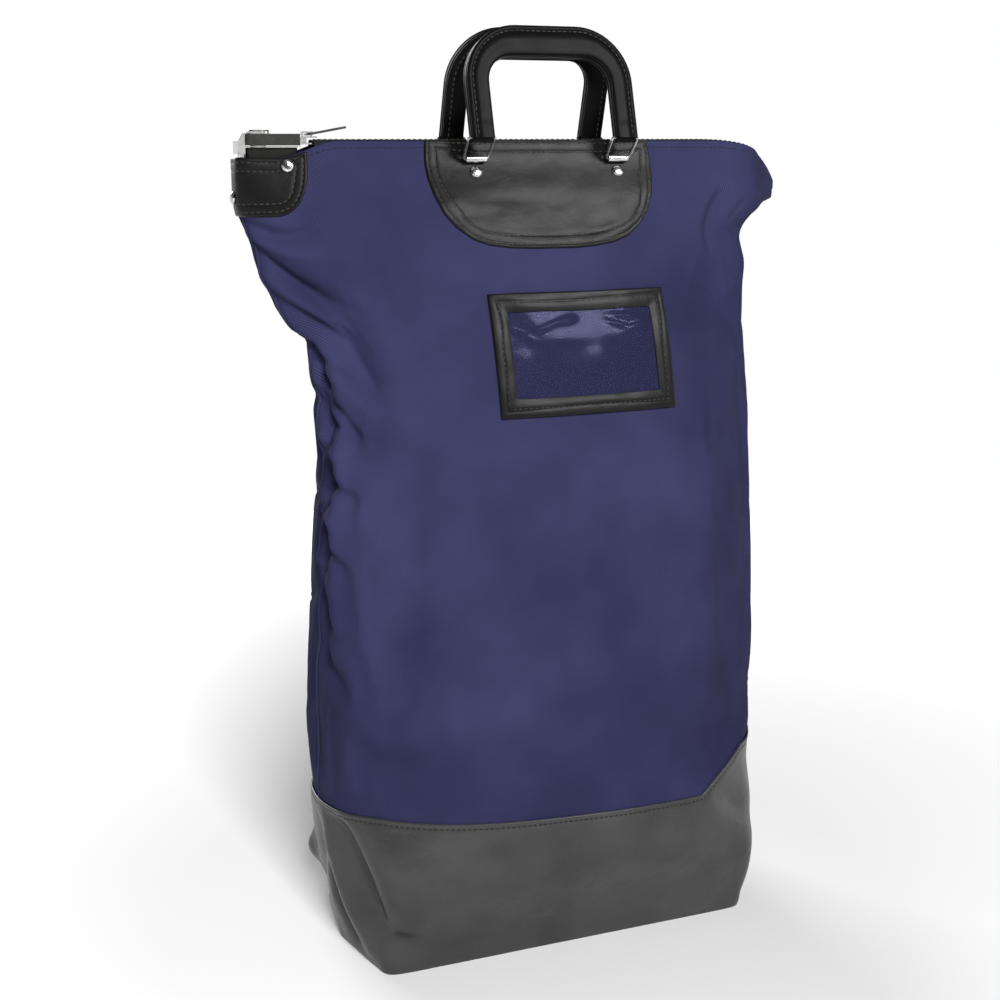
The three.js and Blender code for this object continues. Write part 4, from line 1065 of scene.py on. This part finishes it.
def cover_section(wide, y):
    crease = 0.4 * math.exp(-(((y - KEEPER) / 0.9) ** 2)) + 0.25 * smoothstep(KEEPER - y, 0, 1)
    top = COVER_AT + COVER - crease
    edge = [(0.15, COVER_AT), (0, COVER_AT + 0.7), (0.2, COVER_AT + 1.4), (0.8, top - 0.2), (1.7, top)]
    groove = [(HANDLE_ROW + off, top - depth) for off, depth in HANDLE_GROOVE]
    middle = [(wide * 0.5, top), (wide * 0.7, top)]
    return edge + groove + middle + [(wide - inward, height) for inward, height in edge[::-1]]


def core_section(wide, y):
    thick = 2.5 * math.sqrt(min(max((y - CORE_BOTTOM) / 3.6, 0.04), 1))
    arc = [(0.9 - 0.9 * math.cos(a), thick * math.sin(a)) for a in np.linspace(-math.pi / 2, math.pi / 2, 9)]
    return arc + [(wide - e, h) for e, h in arc[::-1]]


def handle(side):
    name, body = SIDES[side], f"{SIDES[side]}_handle"
    for layer, bottom, section, facing in (
        ("core", CORE_BOTTOM, core_section, 1),
        ("outer_cover", COVER_BOTTOM, cover_section, 1),
        ("inner_cover", COVER_BOTTOM, cover_section, -1),
    ):
        obj = handle_layer(side, f"{name}_{layer}_leather", bottom, section, facing)
        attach(obj, body)
        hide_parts(f"{name}_handle_{layer}")
    outer, inner = handle_edges(1)
    line = outer + (inner - outer) * (HANDLE_ROW / np.linalg.norm(inner - outer, axis=1))[:, None]
    rows = []
    for facing in (1, -1):
        depth = np.full(len(line), facing * (COVER_AT + COVER - 0.3))
        points = handle_place(side, line, depth)
        normal = handle_place(side, line[:1], depth[:1] + facing) - points[:1]
        rows.append((points, np.repeat(normal, len(points), axis=0)))
    stitches(f"{name}_handle_stitching", rows, body)


for side in SIDES:
    panel(side)
    handle_patch(side)
    zipper(side)
    handle(side)
side_seams()
boot()
corner_patch()
window()
hem_stitches()

# ---- camera, light and floor
def area_light(name, place, height, size, watts):
    """A light that aims at a height on the bag's upright axis."""
    data = bpy.data.lights.new(name, "AREA")
    data.shape, data.size, data.size_y = "RECTANGLE", *size
    data.energy = watts
    light = bpy.data.objects.new(name, data)
    light.location = place
    light.rotation_euler = (Vector((0, 0, height)) - Vector(place)).to_track_quat("-Z", "Y").to_euler()
    bpy.context.scene.collection.objects.link(light)
    return light


CAMERA_PLACE = (-0.5137, -1.1558, 0.617)
CAMERA_HEADING = (0.386, 0.9225, 0)
CAMERA_TILT = math.radians(12.4)
FLOOR_REACH = 1500


def studio():
    data = bpy.data.cameras.new("camera")
    data.lens, data.sensor_width = 59.4, 36
    camera = bpy.data.objects.new("camera", data)
    camera.location = CAMERA_PLACE
    heading = Vector(CAMERA_HEADING).normalized() * math.cos(CAMERA_TILT)
    heading.z -= math.sin(CAMERA_TILT)
    camera.rotation_euler = heading.to_track_quat("-Z", "Y").to_euler()
    scene = bpy.context.scene
    scene.collection.objects.link(camera)
    scene.camera = camera
    scene.view_settings.view_transform = "Standard"
    # the key only lights, the softbox and the strip only gleam on vinyl and metal
    area_light("key", (-0.45, -2.4, 1.6), 0.33, (0.8, 0.8), 136).visible_glossy = False
    area_light("softbox", (1.2, -2.1, 1.98), 0.5, (0.8, 0.6), 60).visible_diffuse = False
    area_light("strip", (2.2, -0.5, 0.9), 0.3, (0.4, 1.8), 6).visible_diffuse = False
    area_light("top", (0.2, 0.3, 2.4), 0.3, (1.8, 1.8), 4)
    area_light("rear", (-0.5, 2.5, 1.5), 0.3, (1.6, 1.4), 58)
    world = bpy.data.worlds.new("studio")
    world.use_nodes = True
    nodes, links = world.node_tree.nodes, world.node_tree.links
    split = nodes.new("ShaderNodeSeparateXYZ")
    links.new(nodes.new("ShaderNodeTexCoord").outputs["Generated"], split.inputs[0])
    glow = nodes.new("ShaderNodeMapRange")
    glow.interpolation_type = "SMOOTHSTEP"
    for key, value in {"From Min": 0.09, "From Max": 0.15, "To Min": 1.0, "To Max": 0.06}.items():
        glow.inputs[key].default_value = value
    links.new(split.outputs["Z"], glow.inputs["Value"])
    links.new(glow.outputs["Result"], nodes["Background"].inputs["Strength"])
    nodes["Background"].inputs["Color"].default_value = (1, 1, 1, 1)
    scene.world = world
    paper = Shader("floor", (0.72, 0.72, 0.72, 1), 0.8)
    paper.drive("Roughness", paper.between(paper.noise(4.0), 0.75, 0.85))
    # the paper grows bright outwards, so that it runs into the white behind it
    away = paper.node("ShaderNodeVectorMath", {0: paper.place()}, operation="LENGTH").outputs["Value"]
    limits = {"Value": away, "From Min": 0.3, "From Max": MM * FLOOR_REACH, "To Min": 0.0, "To Max": 0.8}
    paper.drive("Emission Strength", paper.node("ShaderNodeMapRange", limits).outputs["Result"])
    paper.bsdf.inputs["Emission Color"].default_value = (1, 1, 1, 1)
    turn = np.linspace(0, 2 * math.pi, 96, endpoint=False)
    edge = FLOOR_REACH * np.stack([np.cos(turn), np.sin(turn), 0 * turn], -1)
    new_object("floor", edge, [list(range(len(edge)))], paper.material)


studio()
